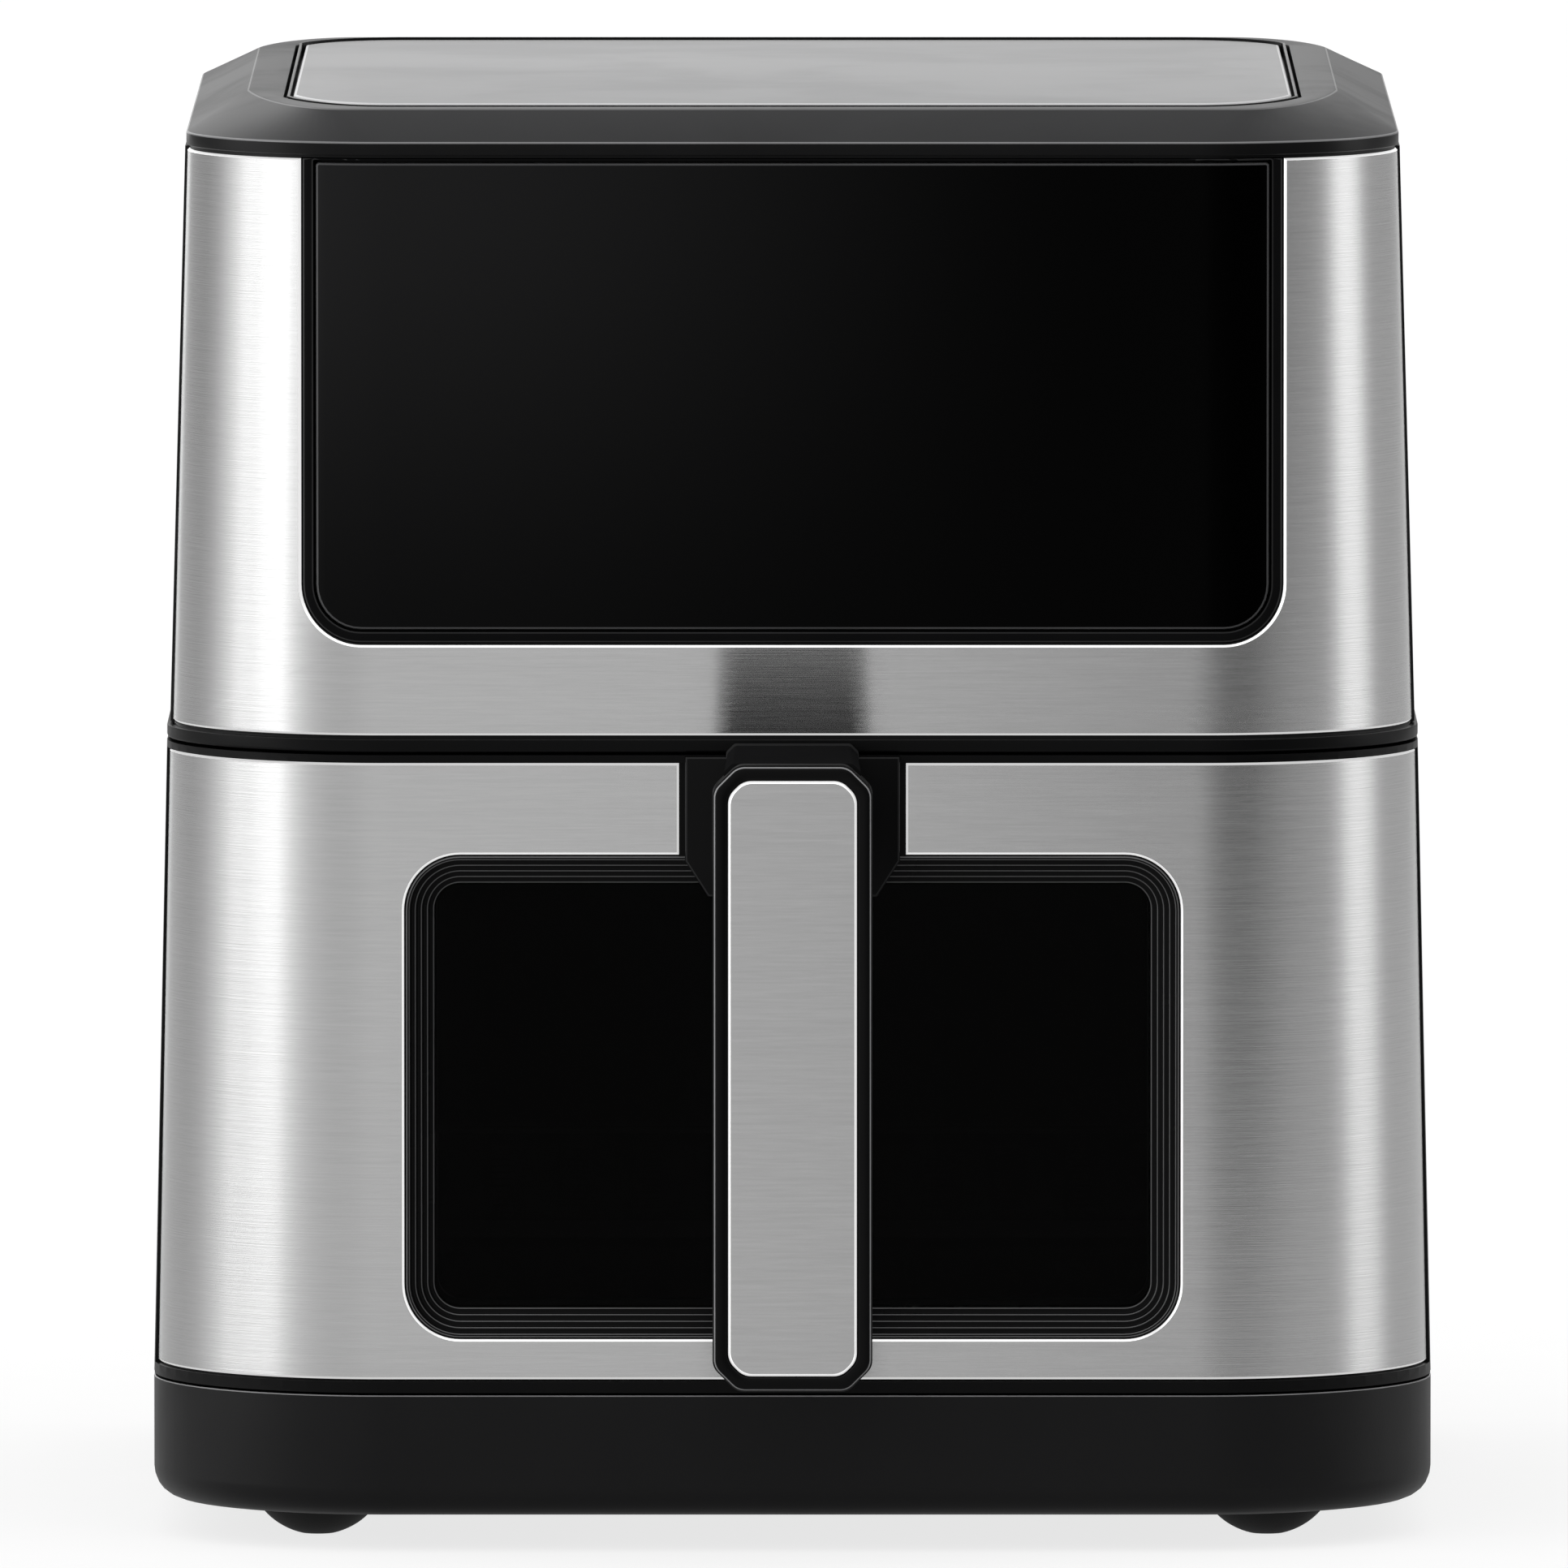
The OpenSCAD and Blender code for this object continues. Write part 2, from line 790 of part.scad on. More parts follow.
// The bracket's feet and this much of the roof lie beside the dome
dome_side = 22;
dome_r = min(dome_room / 2, liner_hw - dome_side);
fan_back = liner_d0 + dome_front + dome_room / 2;
heater_hole_r = dome_r - dome_flange;
lamp_y = behind(100);
lamp_z = bay_z1 + 2;
lamp_r = 9.5;
lamp_len = 13;
sensor_side = 45;
sensor_x = pan_hw - sensor_side;
sensor_z = lamp_z + 4;
sensor_r = 2.5;
roof_z = liner_z1 - liner_t;
blanket_gap = 0.1;
blanket_in = liner_hw + blanket_gap;

// Sheet-metal oven cavity, open at the front
module cavity_liner() {
    color("#8f9193")
    difference() {
        span([-liner_hw, behind(liner_d0), liner_z0], [liner_hw, behind(liner_d1), liner_z1]);
        span([-liner_hw + liner_t, behind(liner_d0) - cut, liner_z0 + liner_t],
            [liner_hw - liner_t, behind(liner_d1) - liner_t, bay_z1]);
        span([-liner_hw + liner_t, behind(liner_d0) + liner_t, liner_z0 + liner_t],
            [liner_hw - liner_t, behind(liner_d1) - liner_t, roof_z]);
        translate([0, behind(fan_back), roof_z - cut]) cylinder(h = liner_t + 2 * cut, r = heater_hole_r);
        span([-duct_w / 2 + duct_t, behind(riser_d0) + duct_t, roof_z - cut],
            [duct_w / 2 - duct_t, behind(riser_d1) - duct_t, liner_z1 + cut]);
        bore_x(-liner_hw - cut, -liner_hw + liner_t + cut, lamp_y, lamp_z, lamp_r - 1);
        bore_y(sensor_x, sensor_z, liner_d1 - liner_t - cut, liner_d1 + cut, sensor_r + fit);
    }
}

// Heat insulation around the sides and the rear of the liner
module insulation_blanket() {
    blanket_out = blanket_in + blanket_t;
    color("#d9d3c2")
    difference() {
        span([-blanket_out, behind(liner_d0), liner_z0],
            [blanket_out, behind(liner_d1) + blanket_gap + blanket_t, z_ring]);
        span([-blanket_in, behind(liner_d0) - cut, liner_z0 - cut],
            [blanket_in, behind(liner_d1) + blanket_gap, z_ring + cut]);
        bore_x(-blanket_out - cut, -blanket_in + cut, lamp_y, lamp_z, lamp_r + 4);
        bore_y(sensor_x, sensor_z, liner_d1, liner_d1 + blanket_t + cut, sensor_r + 5);
    }
}

// Runners on the floor of the liner that the pan slides on
module pan_rails() {
    color("#77797b")
    for (s = [-1, 1])
        translate([s * rail_x - rail_w / 2, behind(liner_d0 + 2), liner_z0 + liner_t])
            cube([rail_w, pan_back - liner_d0 - 6, rail_h]);
}

// ---------- Heater ----------

dome_slope = 12;
dome_top_r = heater_hole_r - dome_slope;
element_in = 6;
element_out_r = dome_top_r - element_in;
fan_r = element_out_r - element_pitch - element_r - fan_gap;
dome_z1 = liner_z1 + dome_h;
element_z = roof_z - 8;
element_gap_a = 12;
clip_t = 1.5;
clip_w = 8;
clip_in = 20;
clip_z = element_z - element_r - clip_t;
clip_r = heater_hole_r + 3;
guard_t = 2;
guard_z = clip_z - 4;
guard_r = clip_r - 5;
fan_z0 = liner_z1 + 1;
fan_z1 = fan_z0 + 12;
shaft_z0 = fan_z0 - 3;
cool_z0 = dome_z1 + 4;
cool_z1 = cool_z0 + 14;
bracket_z = cool_z1 + 6;
bracket_t = 2;
stator_z0 = bracket_z + bracket_t + 6;
stator_h = 22;
stator_w = 64;
rotor_r = 22;
air_gap = 0.4;
yoke_z = stator_z0 + stator_h + 6;
shaft_z1 = yoke_z + bracket_t + 8;
bearing_r = 7;
bearing_h = 5;
shaft_fit = 0.05;
press = 0.02;

// Places its children on the fan's axis, at a height
module on_axis(z) {
    translate([0, behind(fan_back), z]) children();
}

// Upright tube or disc on the fan's axis
module axis_ring(z, h, r_out, r_in) {
    on_axis(z)
        difference() {
            cylinder(h = h, r = r_out);
            translate([0, 0, -cut]) cylinder(h = h + 2 * cut, r = r_in);
        }
}

// Dished cover over the hole in the liner's roof, which houses the hot-air fan
module heater_dome() {
    t = liner_t;
    color("#9a9c9e")
    difference() {
        on_axis(liner_z1)
            rotate_extrude()
                polygon([
                    [heater_hole_r, 0], [dome_r, 0], [dome_r, t], [heater_hole_r - 1, t],
                    [dome_top_r, dome_h], [shaft_r + 2, dome_h], [shaft_r + 2, dome_h - t],
                    [dome_top_r - t, dome_h - t], [heater_hole_r - 2, 0]
                ]);
        for (r = [element_out_r, element_out_r - element_pitch])
            on_axis(liner_z1)
                rotate([0, 0, element_gap_a])
                    translate([r, 0, dome_h / 2]) cylinder(h = dome_h, r = element_r + fit);
    }
}

// Tubular heating element: two open turns joined by a bend, with ends that rise through the dome
module heating_element() {
    bend_r = element_pitch / 2;
    color("#5b5550")
    on_axis(element_z) {
        for (r = [element_out_r, element_out_r - element_pitch]) {
            rotate([0, 0, element_gap_a])
                rotate_extrude(angle = 360 - 2 * element_gap_a)
                    translate([r, 0]) circle(r = element_r);
            rotate([0, 0, element_gap_a])
                translate([r, 0, 0]) {
                    sphere(r = element_r);
                    cylinder(h = dome_h + 20, r = element_r);
                }
        }
        rotate([0, 0, -element_gap_a])
            translate([element_out_r - bend_r, 0, 0])
                rotate_extrude(angle = 180)
                    translate([bend_r, 0]) circle(r = element_r);
    }
}

// Three stays that hang from the liner's roof and carry the element
module element_clips() {
    color("#a0a2a4")
    for (a = [90, 210, 330])
        on_axis(0)
            rotate([0, 0, a]) {
                translate([clip_r - clip_t, -clip_w / 2, clip_z]) cube([clip_t, clip_w, roof_z - clip_z]);
                translate([clip_in, -clip_w / 2, clip_z]) cube([clip_r - clip_in, clip_w, clip_t]);
            }
}

// Guard of flat rings and bars under the heating element
module fan_guard() {
    rings = 5;
    inner_r = 12;
    guard_lap = 1;
    tab_len = clip_r - guard_r + guard_lap + guard_t;
    ring_step = (guard_r - inner_r) / (rings - 1);
    color("#b0b2b4") {
        for (k = [0:rings - 1])
            axis_ring(guard_z, guard_t, inner_r + k * ring_step + guard_t / 2, inner_r + k * ring_step - guard_t / 2);
        on_axis(guard_z + guard_t / 2) {
            for (a = [30:60:150])
                rotate([0, 0, a])
                    translate([-guard_r, -guard_t / 2, 0]) cube([2 * guard_r, guard_t, guard_t]);
            for (a = [30:120:270])
                rotate([0, 0, a])
                    translate([guard_r - guard_lap, -clip_w / 2, 0]) {
                        cube([tab_len, clip_w, guard_t]);
                        translate([tab_len - guard_t, 0, 0]) cube([clip_t, clip_w, roof_z - guard_z - guard_t / 2]);
                    }
        }
    }
}

module temp_sensor() {
    color("#c4c6c8") {
        bore_y(sensor_x, sensor_z, liner_d1 - 22, liner_d1 + 14, sensor_r);
        bore_y(sensor_x, sensor_z, liner_d1, liner_d1 + 2, sensor_r + 4);
    }
}

// Thermal cut-out on the roof of the liner
module thermal_fuse() {
    color("#efe9dc")
    translate([-liner_hw + 14, behind(liner_d0 + 14), liner_z1]) {
        cube([20, 12, 2]);
        translate([4, 2, 1]) cube([12, 8, 7]);
    }
}

// ---------- Lamp ----------

module lamp_holder() {
    color("#e4ded0")
    difference() {
        bore_x(-liner_hw - lamp_len, -liner_hw, lamp_y, lamp_z, lamp_r + 2.5);
        bore_x(-liner_hw - lamp_len + 3, -liner_hw + cut, lamp_y, lamp_z, lamp_r - 2);
        bore_x(-liner_hw - 2 - fit, -liner_hw + cut, lamp_y, lamp_z, lamp_r + fit);
    }
}

module lamp_lens() {
    color([0.9, 0.9, 0.85, 0.5])
    bore_x(-liner_hw - 2, -liner_hw, lamp_y, lamp_z, lamp_r);
}

module lamp_bulb() {
    bulb_r = 4;
    x = -liner_hw - lamp_len + 3;
    color("#f4ecc8") {
        bore_x(x, x + 4, lamp_y, lamp_z, bulb_r - 1);
        translate([x + 4, lamp_y, lamp_z]) sphere(r = bulb_r - 0.5);
    }
}

// ---------- Air outlet ----------

// Duct from the liner's roof to the rear wall
module air_duct() {
    rear = rear_face - front_wall - fit;
    color("#7f8183")
    difference() {
        union() {
            span([-duct_w / 2, behind(riser_d0), liner_z1], [duct_w / 2, behind(riser_d1), duct_z1]);
            span([-duct_w / 2, behind(riser_d1) - cut, duct_z0], [duct_w / 2, behind(rear), duct_z1]);
        }
        span([-duct_w / 2 + duct_t, behind(riser_d0) + duct_t, liner_z1 - cut],
            [duct_w / 2 - duct_t, behind(riser_d1) - duct_t, duct_z1 - duct_t]);
        span([-duct_w / 2 + duct_t, behind(riser_d0) + duct_t, duct_z0 + duct_t],
            [duct_w / 2 - duct_t, behind(rear) + cut, duct_z1 - duct_t]);
    }
}

vent_frame = 9;
slat_count = 7;
slat_t = 1.6;

// Louvred cover over the air outlet
module rear_vent_cover() {
    proud = vent_proud + upper_step;
    inner_h = vent_h - 2 * vent_frame;
    color("#161617") {
        difference() {
            front_prism(rear_face, rear_face + proud)
                front_rect(vent_w, vent_z0, vent_z0 + vent_h, 8);
            front_box(vent_w - 2 * vent_frame, vent_z0 + vent_frame, vent_z0 + vent_h - vent_frame,
                rear_face - cut, rear_face + proud + cut);
            vent_screws_at() translate([0, 0, -cut]) cylinder(h = proud + 2 * cut, r = screw_r + fit);
            vent_screws_at() translate([0, 0, proud - 3]) cylinder(h = 3 + cut, r = screw_head_r + 2 * fit);
        }
        for (k = [0:slat_count - 1])
            translate([0, behind(rear_face) + proud / 2, vent_z0 + vent_frame + (k + 0.5) * inner_h / slat_count])
                rotate([-35, 0, 0])
                    cube([vent_w - 2 * vent_frame + 2 * fit, 0.8 * proud, slat_t], center = true);
    }
}

module vent_screws() {
    proud = vent_proud + upper_step;
    color("#2b2b2d")
    vent_screws_at() {
        translate([0, 0, proud - 3]) cylinder(h = 2, r = screw_head_r);
        translate([0, 0, -9]) cylinder(h = proud + 7, r = screw_r);
    }
}

// Inlet for the mains cord
module cord_inlet() {
    color("#0f0f10")
    difference() {
        union() {
            bore_y(gland_x, gland_z, body_d, body_d + 3, gland_r + 3);
            bore_y(gland_x, gland_z, body_d + 3 - gland_len, body_d + 1, gland_r);
            bore_y(gland_x, gland_z, body_d - shell_t - fit - 4, body_d - shell_t - fit, gland_r + 2.5);
        }
        bore_y(gland_x, gland_z, body_d - gland_len, body_d + 3 + cut, cord_r);
    }
}

// Parts of the power board: place along and up the board, and size outward, along and up
solder = 0.2;
relay_at = [12, 10];
relay_size = [16, 20, 28];
transformer_at = [45, 10];
transformer_size = [20, 30, 30];
filter_at = [14, 48];
filter_size = [12, 26, 14];
capacitor_at = [62, 56];
capacitor_len = 22;
capacitor_r = 7;

// Block on the inner face of the power board
module board_part(at, size) {
    span([board_x - size[0], board_y0 + at[0], board_z0 + at[1]],
        [board_x + solder, board_y0 + at[0] + size[1], board_z0 + at[1] + size[2]]);
}

// Power board with its relay, capacitor and transformer
module power_board() {
    color("#2a5a34") {
        span([board_x, board_y0, board_z0], [board_x + board_t, board_y1, board_z1]);
        board_part(relay_at, relay_size);
        board_part(transformer_at, transformer_size);
        board_part(filter_at, filter_size);
        bore_x(board_x - capacitor_len, board_x + solder, board_y0 + capacitor_at[0],
            board_z0 + capacitor_at[1], capacitor_r);
    }
}

// ---------- Motor ----------

bracket_foot = 8;
bracket_x = dome_r + dome_gap + bracket_foot;
bracket_w2 = 30;
stud_in = 5;
stud_r = 3;

// Bridge over the heater dome that carries the motor
module motor_bracket() {
    post = stator_w / 2 - stud_in;
    color("#a4a6a8")
    difference() {
        on_axis(0) {
            translate([-bracket_x, -bracket_w2, bracket_z]) cube([2 * bracket_x, 2 * bracket_w2, bracket_t]);
            for (s = [-1, 1])
                translate([s * bracket_x, 0, 0])
                    mirror([s > 0 ? 1 : 0, 0, 0]) {
                        translate([0, -bracket_w2, liner_z1]) cube([bracket_t, 2 * bracket_w2, bracket_z - liner_z1 + 1]);
                        translate([0, -bracket_w2, liner_z1]) cube([bracket_foot, 2 * bracket_w2, bracket_t]);
                    }
            for (x = [-post, post])
                for (y = [-post + stud_in, post - stud_in])
                    translate([x, y, bracket_z + bracket_t / 2])
                        cylinder(h = stator_z0 - bracket_z - bracket_t / 2, r = stud_r);
        }
        on_axis(bracket_z - cut) cylinder(h = bracket_t + 2 * cut, r = bearing_r + press);
    }
}

module motor_stator() {
    color("#6a6c6e")
    difference() {
        on_axis(stator_z0 + stator_h / 2) cube([stator_w, stator_w - 8, stator_h], center = true);
        on_axis(stator_z0 - cut) cylinder(h = stator_h + 2 * cut, r = rotor_r + air_gap);
    }
}

// End turns of the winding, above and below the laminations
module motor_windings() {
    color("#b5672e") {
        axis_ring(stator_z0 - 4.5, 4.5, rotor_r + 4.5, rotor_r + 1);
        axis_ring(stator_z0 + stator_h, 4.5, rotor_r + 4.5, rotor_r + 1);
    }
}

// Upper plate of the motor
module motor_yoke() {
    post = stator_w / 2 - stud_in;
    color("#a4a6a8")
    difference() {
        on_axis(0) {
            translate([-stator_w / 2, -stator_w / 2 + 4, yoke_z]) cube([stator_w, stator_w - 8, bracket_t]);
            for (x = [-post, post])
                for (y = [-post + stud_in, post - stud_in])
                    translate([x, y, stator_z0 + stator_h])
                        cylinder(h = yoke_z - stator_z0 - stator_h + bracket_t / 2, r = stud_r);
        }
        on_axis(yoke_z - cut) cylinder(h = bracket_t + 2 * cut, r = bearing_r + press);
    }
}

// Flanged bushes in the bracket and in the yoke
module motor_bearings() {
    color("#b08d4a") {
        axis_ring(bracket_z - 1, bearing_h, bearing_r, shaft_r + shaft_fit);
        axis_ring(bracket_z - 2, 2, bearing_r + 2, shaft_r + shaft_fit);
        axis_ring(yoke_z - bearing_h + bracket_t + 1, bearing_h, bearing_r, shaft_r + shaft_fit);
        axis_ring(yoke_z + bracket_t, 2, bearing_r + 2, shaft_r + shaft_fit);
    }
}

module motor_shaft() {
    color("#c8cacc")
    on_axis(shaft_z0) cylinder(h = shaft_z1 - shaft_z0, r = shaft_r);
}

module motor_rotor() {
    color("#55575a")
    axis_ring(stator_z0, stator_h, rotor_r, shaft_r + press);
}

// Radial fan that blows the hot air, below the dome
module hot_air_fan() {
    blades = 12;
    color("#b6b8ba") {
        axis_ring(fan_z1 - 1, 1, fan_r, shaft_r + press);
        axis_ring(fan_z0 + 1, fan_z1 - fan_z0 - 1, 9, shaft_r + press);
        on_axis(fan_z0)
            for (k = [0:blades - 1])
                rotate([0, 0, k * 360 / blades])
                    translate([20, -0.6, 0])
                        rotate([0, 0, 12])
                            cube([fan_r - 23, 1.2, fan_z1 - fan_z0]);
    }
}

module fan_nut() {
    color("#c9a24a")
    difference() {
        on_axis(shaft_z0 - 2) cylinder(h = 5.9, r = 7, $fn = 6);
        on_axis(shaft_z0) cylinder(h = 5, r = shaft_r + press);
    }
}

// Plastic fan above the dome that cools the motor and the electronics
module cooling_fan() {
    blades = 8;
    color("#dcdcd6") {
        axis_ring(cool_z0, cool_z1 - cool_z0, 12, shaft_r + press);
        axis_ring(cool_z0, 1.2, cool_fan_r, shaft_r + press);
        on_axis(cool_z0)
            for (k = [0:blades - 1])
                rotate([0, 0, k * 360 / blades])
                    translate([11, -0.8, 0])
                        rotate([0, 0, 18])
                            cube([cool_fan_r - 14, 1.6, cool_z1 - cool_z0]);
    }
}

// ---------- Drawer switch ----------

flange_back = wrap_d - 2;
plunger_tip = flange_back + run;
switch_front = bulkhead_back + fit;
switch_len = 14;
plunger_end = switch_front + 8;

module drawer_switch() {
    color("#2e2e30")
    difference() {
        span([switch_x - 3, behind(switch_front), switch_z - 8], [switch_x + 3, behind(switch_front + switch_len), switch_z + 8]);
        bore_y(switch_x, switch_z, switch_front - cut, plunger_end + 3, plunger_r + fit);
    }
}

module switch_plunger() {
    color("#c23b2e")
    bore_y(switch_x, switch_z, plunger_tip, plunger_end, plunger_r);
}

// ---------- Drawer front ----------

drawer_z0 = z_low + drawer_gap;
drawer_z1 = z_ring - drawer_gap;
sheet_z0 = drawer_z0 + drawer_low_rim;
sheet_z1 = drawer_z1 - drawer_top_rim;
window_z0 = sheet_z0 + window_sill;
window_z1 = sheet_z1 - window_head;
frame_wall = 2.4;
frame_in = skin_seat + frame_wall;
window_gap = 0.4;
step_front = 0.9;
sight_in = window_steps * window_step_w;
pane_d0 = step_front + window_steps * window_step_d + fit;
notch_w = bracket_w + 2.8;
pocket_x = pan_hw + pan_rim + 1;
handle_screw_x = 8;
grip_z1 = drawer_z1 + 0.5;
grip_z0 = grip_z1 - grip_h;
neck_z1 = grip_z1 + neck_rise;
handle_screw_z = neck_z1 - 12.5;
handle_screw_in = 16;

// Window outline in the front view, moved inwards by inset
module window_outline(inset) {
    front_rect(window_w - 2 * inset, window_z0 + inset, window_z1 - inset, window_r - inset);
}

module window_prism(inset, d0, d1) {
    front_prism(d0, d1) window_outline(inset);
}

module handle_screw_holes(d0, d1, r) {
    for (s = [-1, 1]) bore_y(s * handle_screw_x, handle_screw_z, d0, d1, r);
}

// Black frame of the drawer front, which wraps around the front corners
module drawer_frame() {
    color("#1b1b1d")
    difference() {
        front_part(wrap_d) leaning(drawer_z0, drawer_z1, 0);
        leaning(drawer_z0 + frame_wall, drawer_z1 - frame_wall, frame_in);
        front_part(steel_wrap)
            difference() {
                leaning(sheet_z0 - 0.5, sheet_z1 + 0.2, -cut);
                leaning(sheet_z0 - 0.5, sheet_z1 + 0.2, skin_seat, cut);
            }
        span([-pocket_x, behind(panel_back), drawer_z1 - frame_wall - cut], [pocket_x, behind(wrap_d + cut), drawer_z1 + cut]);
        window_prism(window_gap - fit, -cut, inner_front - 4);
        handle_screw_holes(-cut, frame_in + cut, screw_r + fit);
    }
}

// Brushed steel sheet of the drawer front
module drawer_steel() {
    color("#b9babc")
    difference() {
        front_part(steel_wrap - 0.3)
            difference() {
                leaning(sheet_z0, sheet_z1, steel_set);
                leaning(sheet_z0, sheet_z1, skin_in, cut);
            }
        window_prism(0, -cut, inner_front);
        front_box(notch_w, window_z1 - window_r, sheet_z1 + cut, -cut, inner_front);
    }
}

// Stepped black frame around the window
module window_frame() {
    color("#141415")
    difference() {
        window_prism(window_gap, step_front, inner_front - fit);
        for (k = [1:window_steps])
            window_prism(k * window_step_w, -cut, step_front + k * window_step_d);
        window_prism(sight_in, -cut, inner_front);
        window_prism(sight_in - window_step_w, pane_d0, inner_front + cut);
    }
}

module window_glass() {
    color([0.05, 0.05, 0.05, 0.6])
    window_prism(sight_in - window_step_w + fit, pane_d0, pane_d0 + pane_t);
}

// Panel that closes the drawer front from inside and holds the pan
module drawer_inner_panel() {
    side_t = 2.2;
    color("#232325")
    difference() {
        intersection() {
            leaning(drawer_z0 + frame_wall + fit, drawer_z1 - frame_wall - fit, frame_in + fit);
            union() {
                front_box(2 * (pocket_x + side_t), 0, z_ring, inner_front, panel_back);
                for (s = [-1, 1]) {
                    translate([s * (pocket_x + side_t / 2), 0, 0]) front_box(side_t, 0, z_ring, inner_front, flange_back);
                    translate([s * (pocket_x + body_w) / 2, 0, 0])
                        front_box(body_w - pocket_x, 0, z_ring, flange_back - 2, flange_back);
                }
            }
        }
        window_prism(gasket_in - 0.2, inner_front - cut, panel_back + cut);
    }
}

gasket_in = sight_in - 3.6;
inner_pane_d0 = pan_front + pan_t + 1;

// Silicone gasket that holds the inner pane in the pan's front wall
module inner_gasket() {
    color("#0d0d0e")
    difference() {
        window_prism(gasket_in, inner_front + 0.5, inner_pane_d0 + pane_t);
        window_prism(sight_in + 0.6, inner_front, inner_pane_d0 + pane_t + cut);
        window_prism(sight_in - 1.6, inner_pane_d0 - fit, inner_pane_d0 + pane_t + cut);
        difference() {
            window_prism(gasket_in - cut, pan_front - fit, pan_front + pan_t + fit);
            window_prism(gasket_in + 1.2, pan_front - cut, pan_front + pan_t + cut);
        }
    }
}

module inner_glass() {
    color([0.15, 0.15, 0.15, 0.5])
    window_prism(sight_in - 1.5, inner_pane_d0, inner_pane_d0 + pane_t - 0.5);
}

// ---------- Pan and crisper plate ----------

pan_y0 = behind(pan_front);
pan_y1 = behind(pan_back);
pan_z1 = bay_z1 - pan_head;

// Plan outline of the pan, moved inwards by inset
function pan_outline(inset) = rounded(pan_hw - inset, pan_y0 + inset, pan_y1 - inset, pan_r - inset);

// Levels of the pan's rounded floor, for a wall that lies wall inside the outer face
function pan_levels(wall, top) = concat(
    [
        for (k = [0:4])
            let (a = 22.5 * k, r = pan_floor_r - wall)
            [pan_z + wall + r * (1 - cos(a)), pan_outline(wall + r * (1 - sin(a)))]
    ],
    [[top, pan_outline(wall)]]
);

// Deep pan with a turned-out rim and a window in its front wall
module pan() {
    color("#26262a")
    difference() {
        union() {
            loft(pan_levels(0, pan_z1));
            intersection() {
                loft([[pan_z1 - pan_t, pan_outline(-pan_rim)], [pan_z1, pan_outline(-pan_rim)]]);
                span([-body_w, pan_y0, 0], [body_w, back_y, z_top]);
            }
        }
        loft(pan_levels(pan_t, pan_z1 + cut));
        window_prism(gasket_in + 1.1, pan_front - cut, pan_front + pan_t + cut);
    }
}

plate_in = pan_t + plate_gap;
plate_z = pan_z + pan_t + plate_lift_h;
plate_lip = 4;
plate_pitch = 17;
plate_hw = pan_hw - plate_in;
plate_y0 = pan_y0 + plate_in;
plate_y1 = pan_y1 - plate_in;
leg_r = 4;
leg_in = 22;
cap_r = 6;
cap_h = 12;

// Plan outline of the crisper plate, moved inwards by inset
function plate_outline(inset) =
    rounded(plate_hw - inset, plate_y0 + inset, plate_y1 - inset, pan_r - plate_in - inset + 4);

module at_legs() {
    for (x = [-plate_hw + leg_in, plate_hw - leg_in])
        for (y = [plate_y0 + leg_in, plate_y1 - leg_in])
            translate([x, y, 0]) children();
}

// Perforated plate on four legs
module crisper_plate() {
    columns = floor((plate_hw - 20) / plate_pitch);
    rows = floor(((plate_y1 - plate_y0) / 2 - 20) / plate_pitch);
    middle = (plate_y0 + plate_y1) / 2;
    color("#2c2c30")
    difference() {
        union() {
            loft([[plate_z, plate_outline(0)], [plate_z + plate_t, plate_outline(0)]]);
            difference() {
                loft([[plate_z, plate_outline(0)], [plate_z + plate_lip, plate_outline(0)]]);
                loft([[plate_z - cut, plate_outline(2)], [plate_z + plate_lip + cut, plate_outline(2)]]);
            }
            at_legs()
                translate([0, 0, pan_z + pan_t + 4]) cylinder(h = plate_lift_h - 4 + plate_t / 2, r = leg_r);
        }
        for (i = [-columns:columns])
            for (j = [-rows:rows])
                if (abs(i) < columns || abs(j) < rows)
                    translate([i * plate_pitch, middle + j * plate_pitch, plate_z - cut])
                        cylinder(h = plate_t + 2 * cut, r = plate_hole_r);
    }
}

// Silicone caps under the legs of the plate
module plate_caps() {
    color("#101011")
    at_legs()
        difference() {
            translate([0, 0, pan_z + pan_t + fit]) cylinder(h = cap_h, r = cap_r);
            translate([0, 0, pan_z + pan_t + 4]) cylinder(h = cap_h, r = leg_r + press);
        }
}

// ---------- Handle ----------

inlay_d = 1.4;
inlay_set = 0.2;
grip_soft_r = 4;
neck_cut = 2.5;

// Points of the grip in the front view, moved inwards by inset: a rectangle with softened corner cuts
function grip_points(inset) =
    let (
        w = grip_w / 2 - inset,
        h = grip_h / 2 - inset,
        c = grip_cut - inset * (2 - sqrt(2)),
        r = grip_soft_r - inset / 2,
        corners = [
            [w, h - c], [w - c, h], [-w + c, h], [-w, h - c],
            [-w, -h + c], [-w + c, -h], [w - c, -h], [w, -h + c]
        ]
    )
    [
        for (i = [0:7])
            for (k = [0:3])
                let (a = 45 * i)
                [0, grip_z0 + grip_h / 2] + corners[i]
                    - r / cos(22.5) * [cos(a + 22.5), sin(a + 22.5)]
                    + r * [cos(a + 15 * k), sin(a + 15 * k)]
    ];

// Points of the neck in the front view
function neck_points(w, z1) = [
    [w / 2, z1 - neck_h], [w / 2, z1 - neck_cut], [w / 2 - neck_cut, z1],
    [-w / 2 + neck_cut, z1], [-w / 2, z1 - neck_cut], [-w / 2, z1 - neck_h]
];

// Solid through a stack of front-view outlines, each given as [distance in front of the drawer, points]
module forward_loft(levels) {
    translate([0, front_y, 0]) rotate([90, 0, 0]) loft(levels);
}

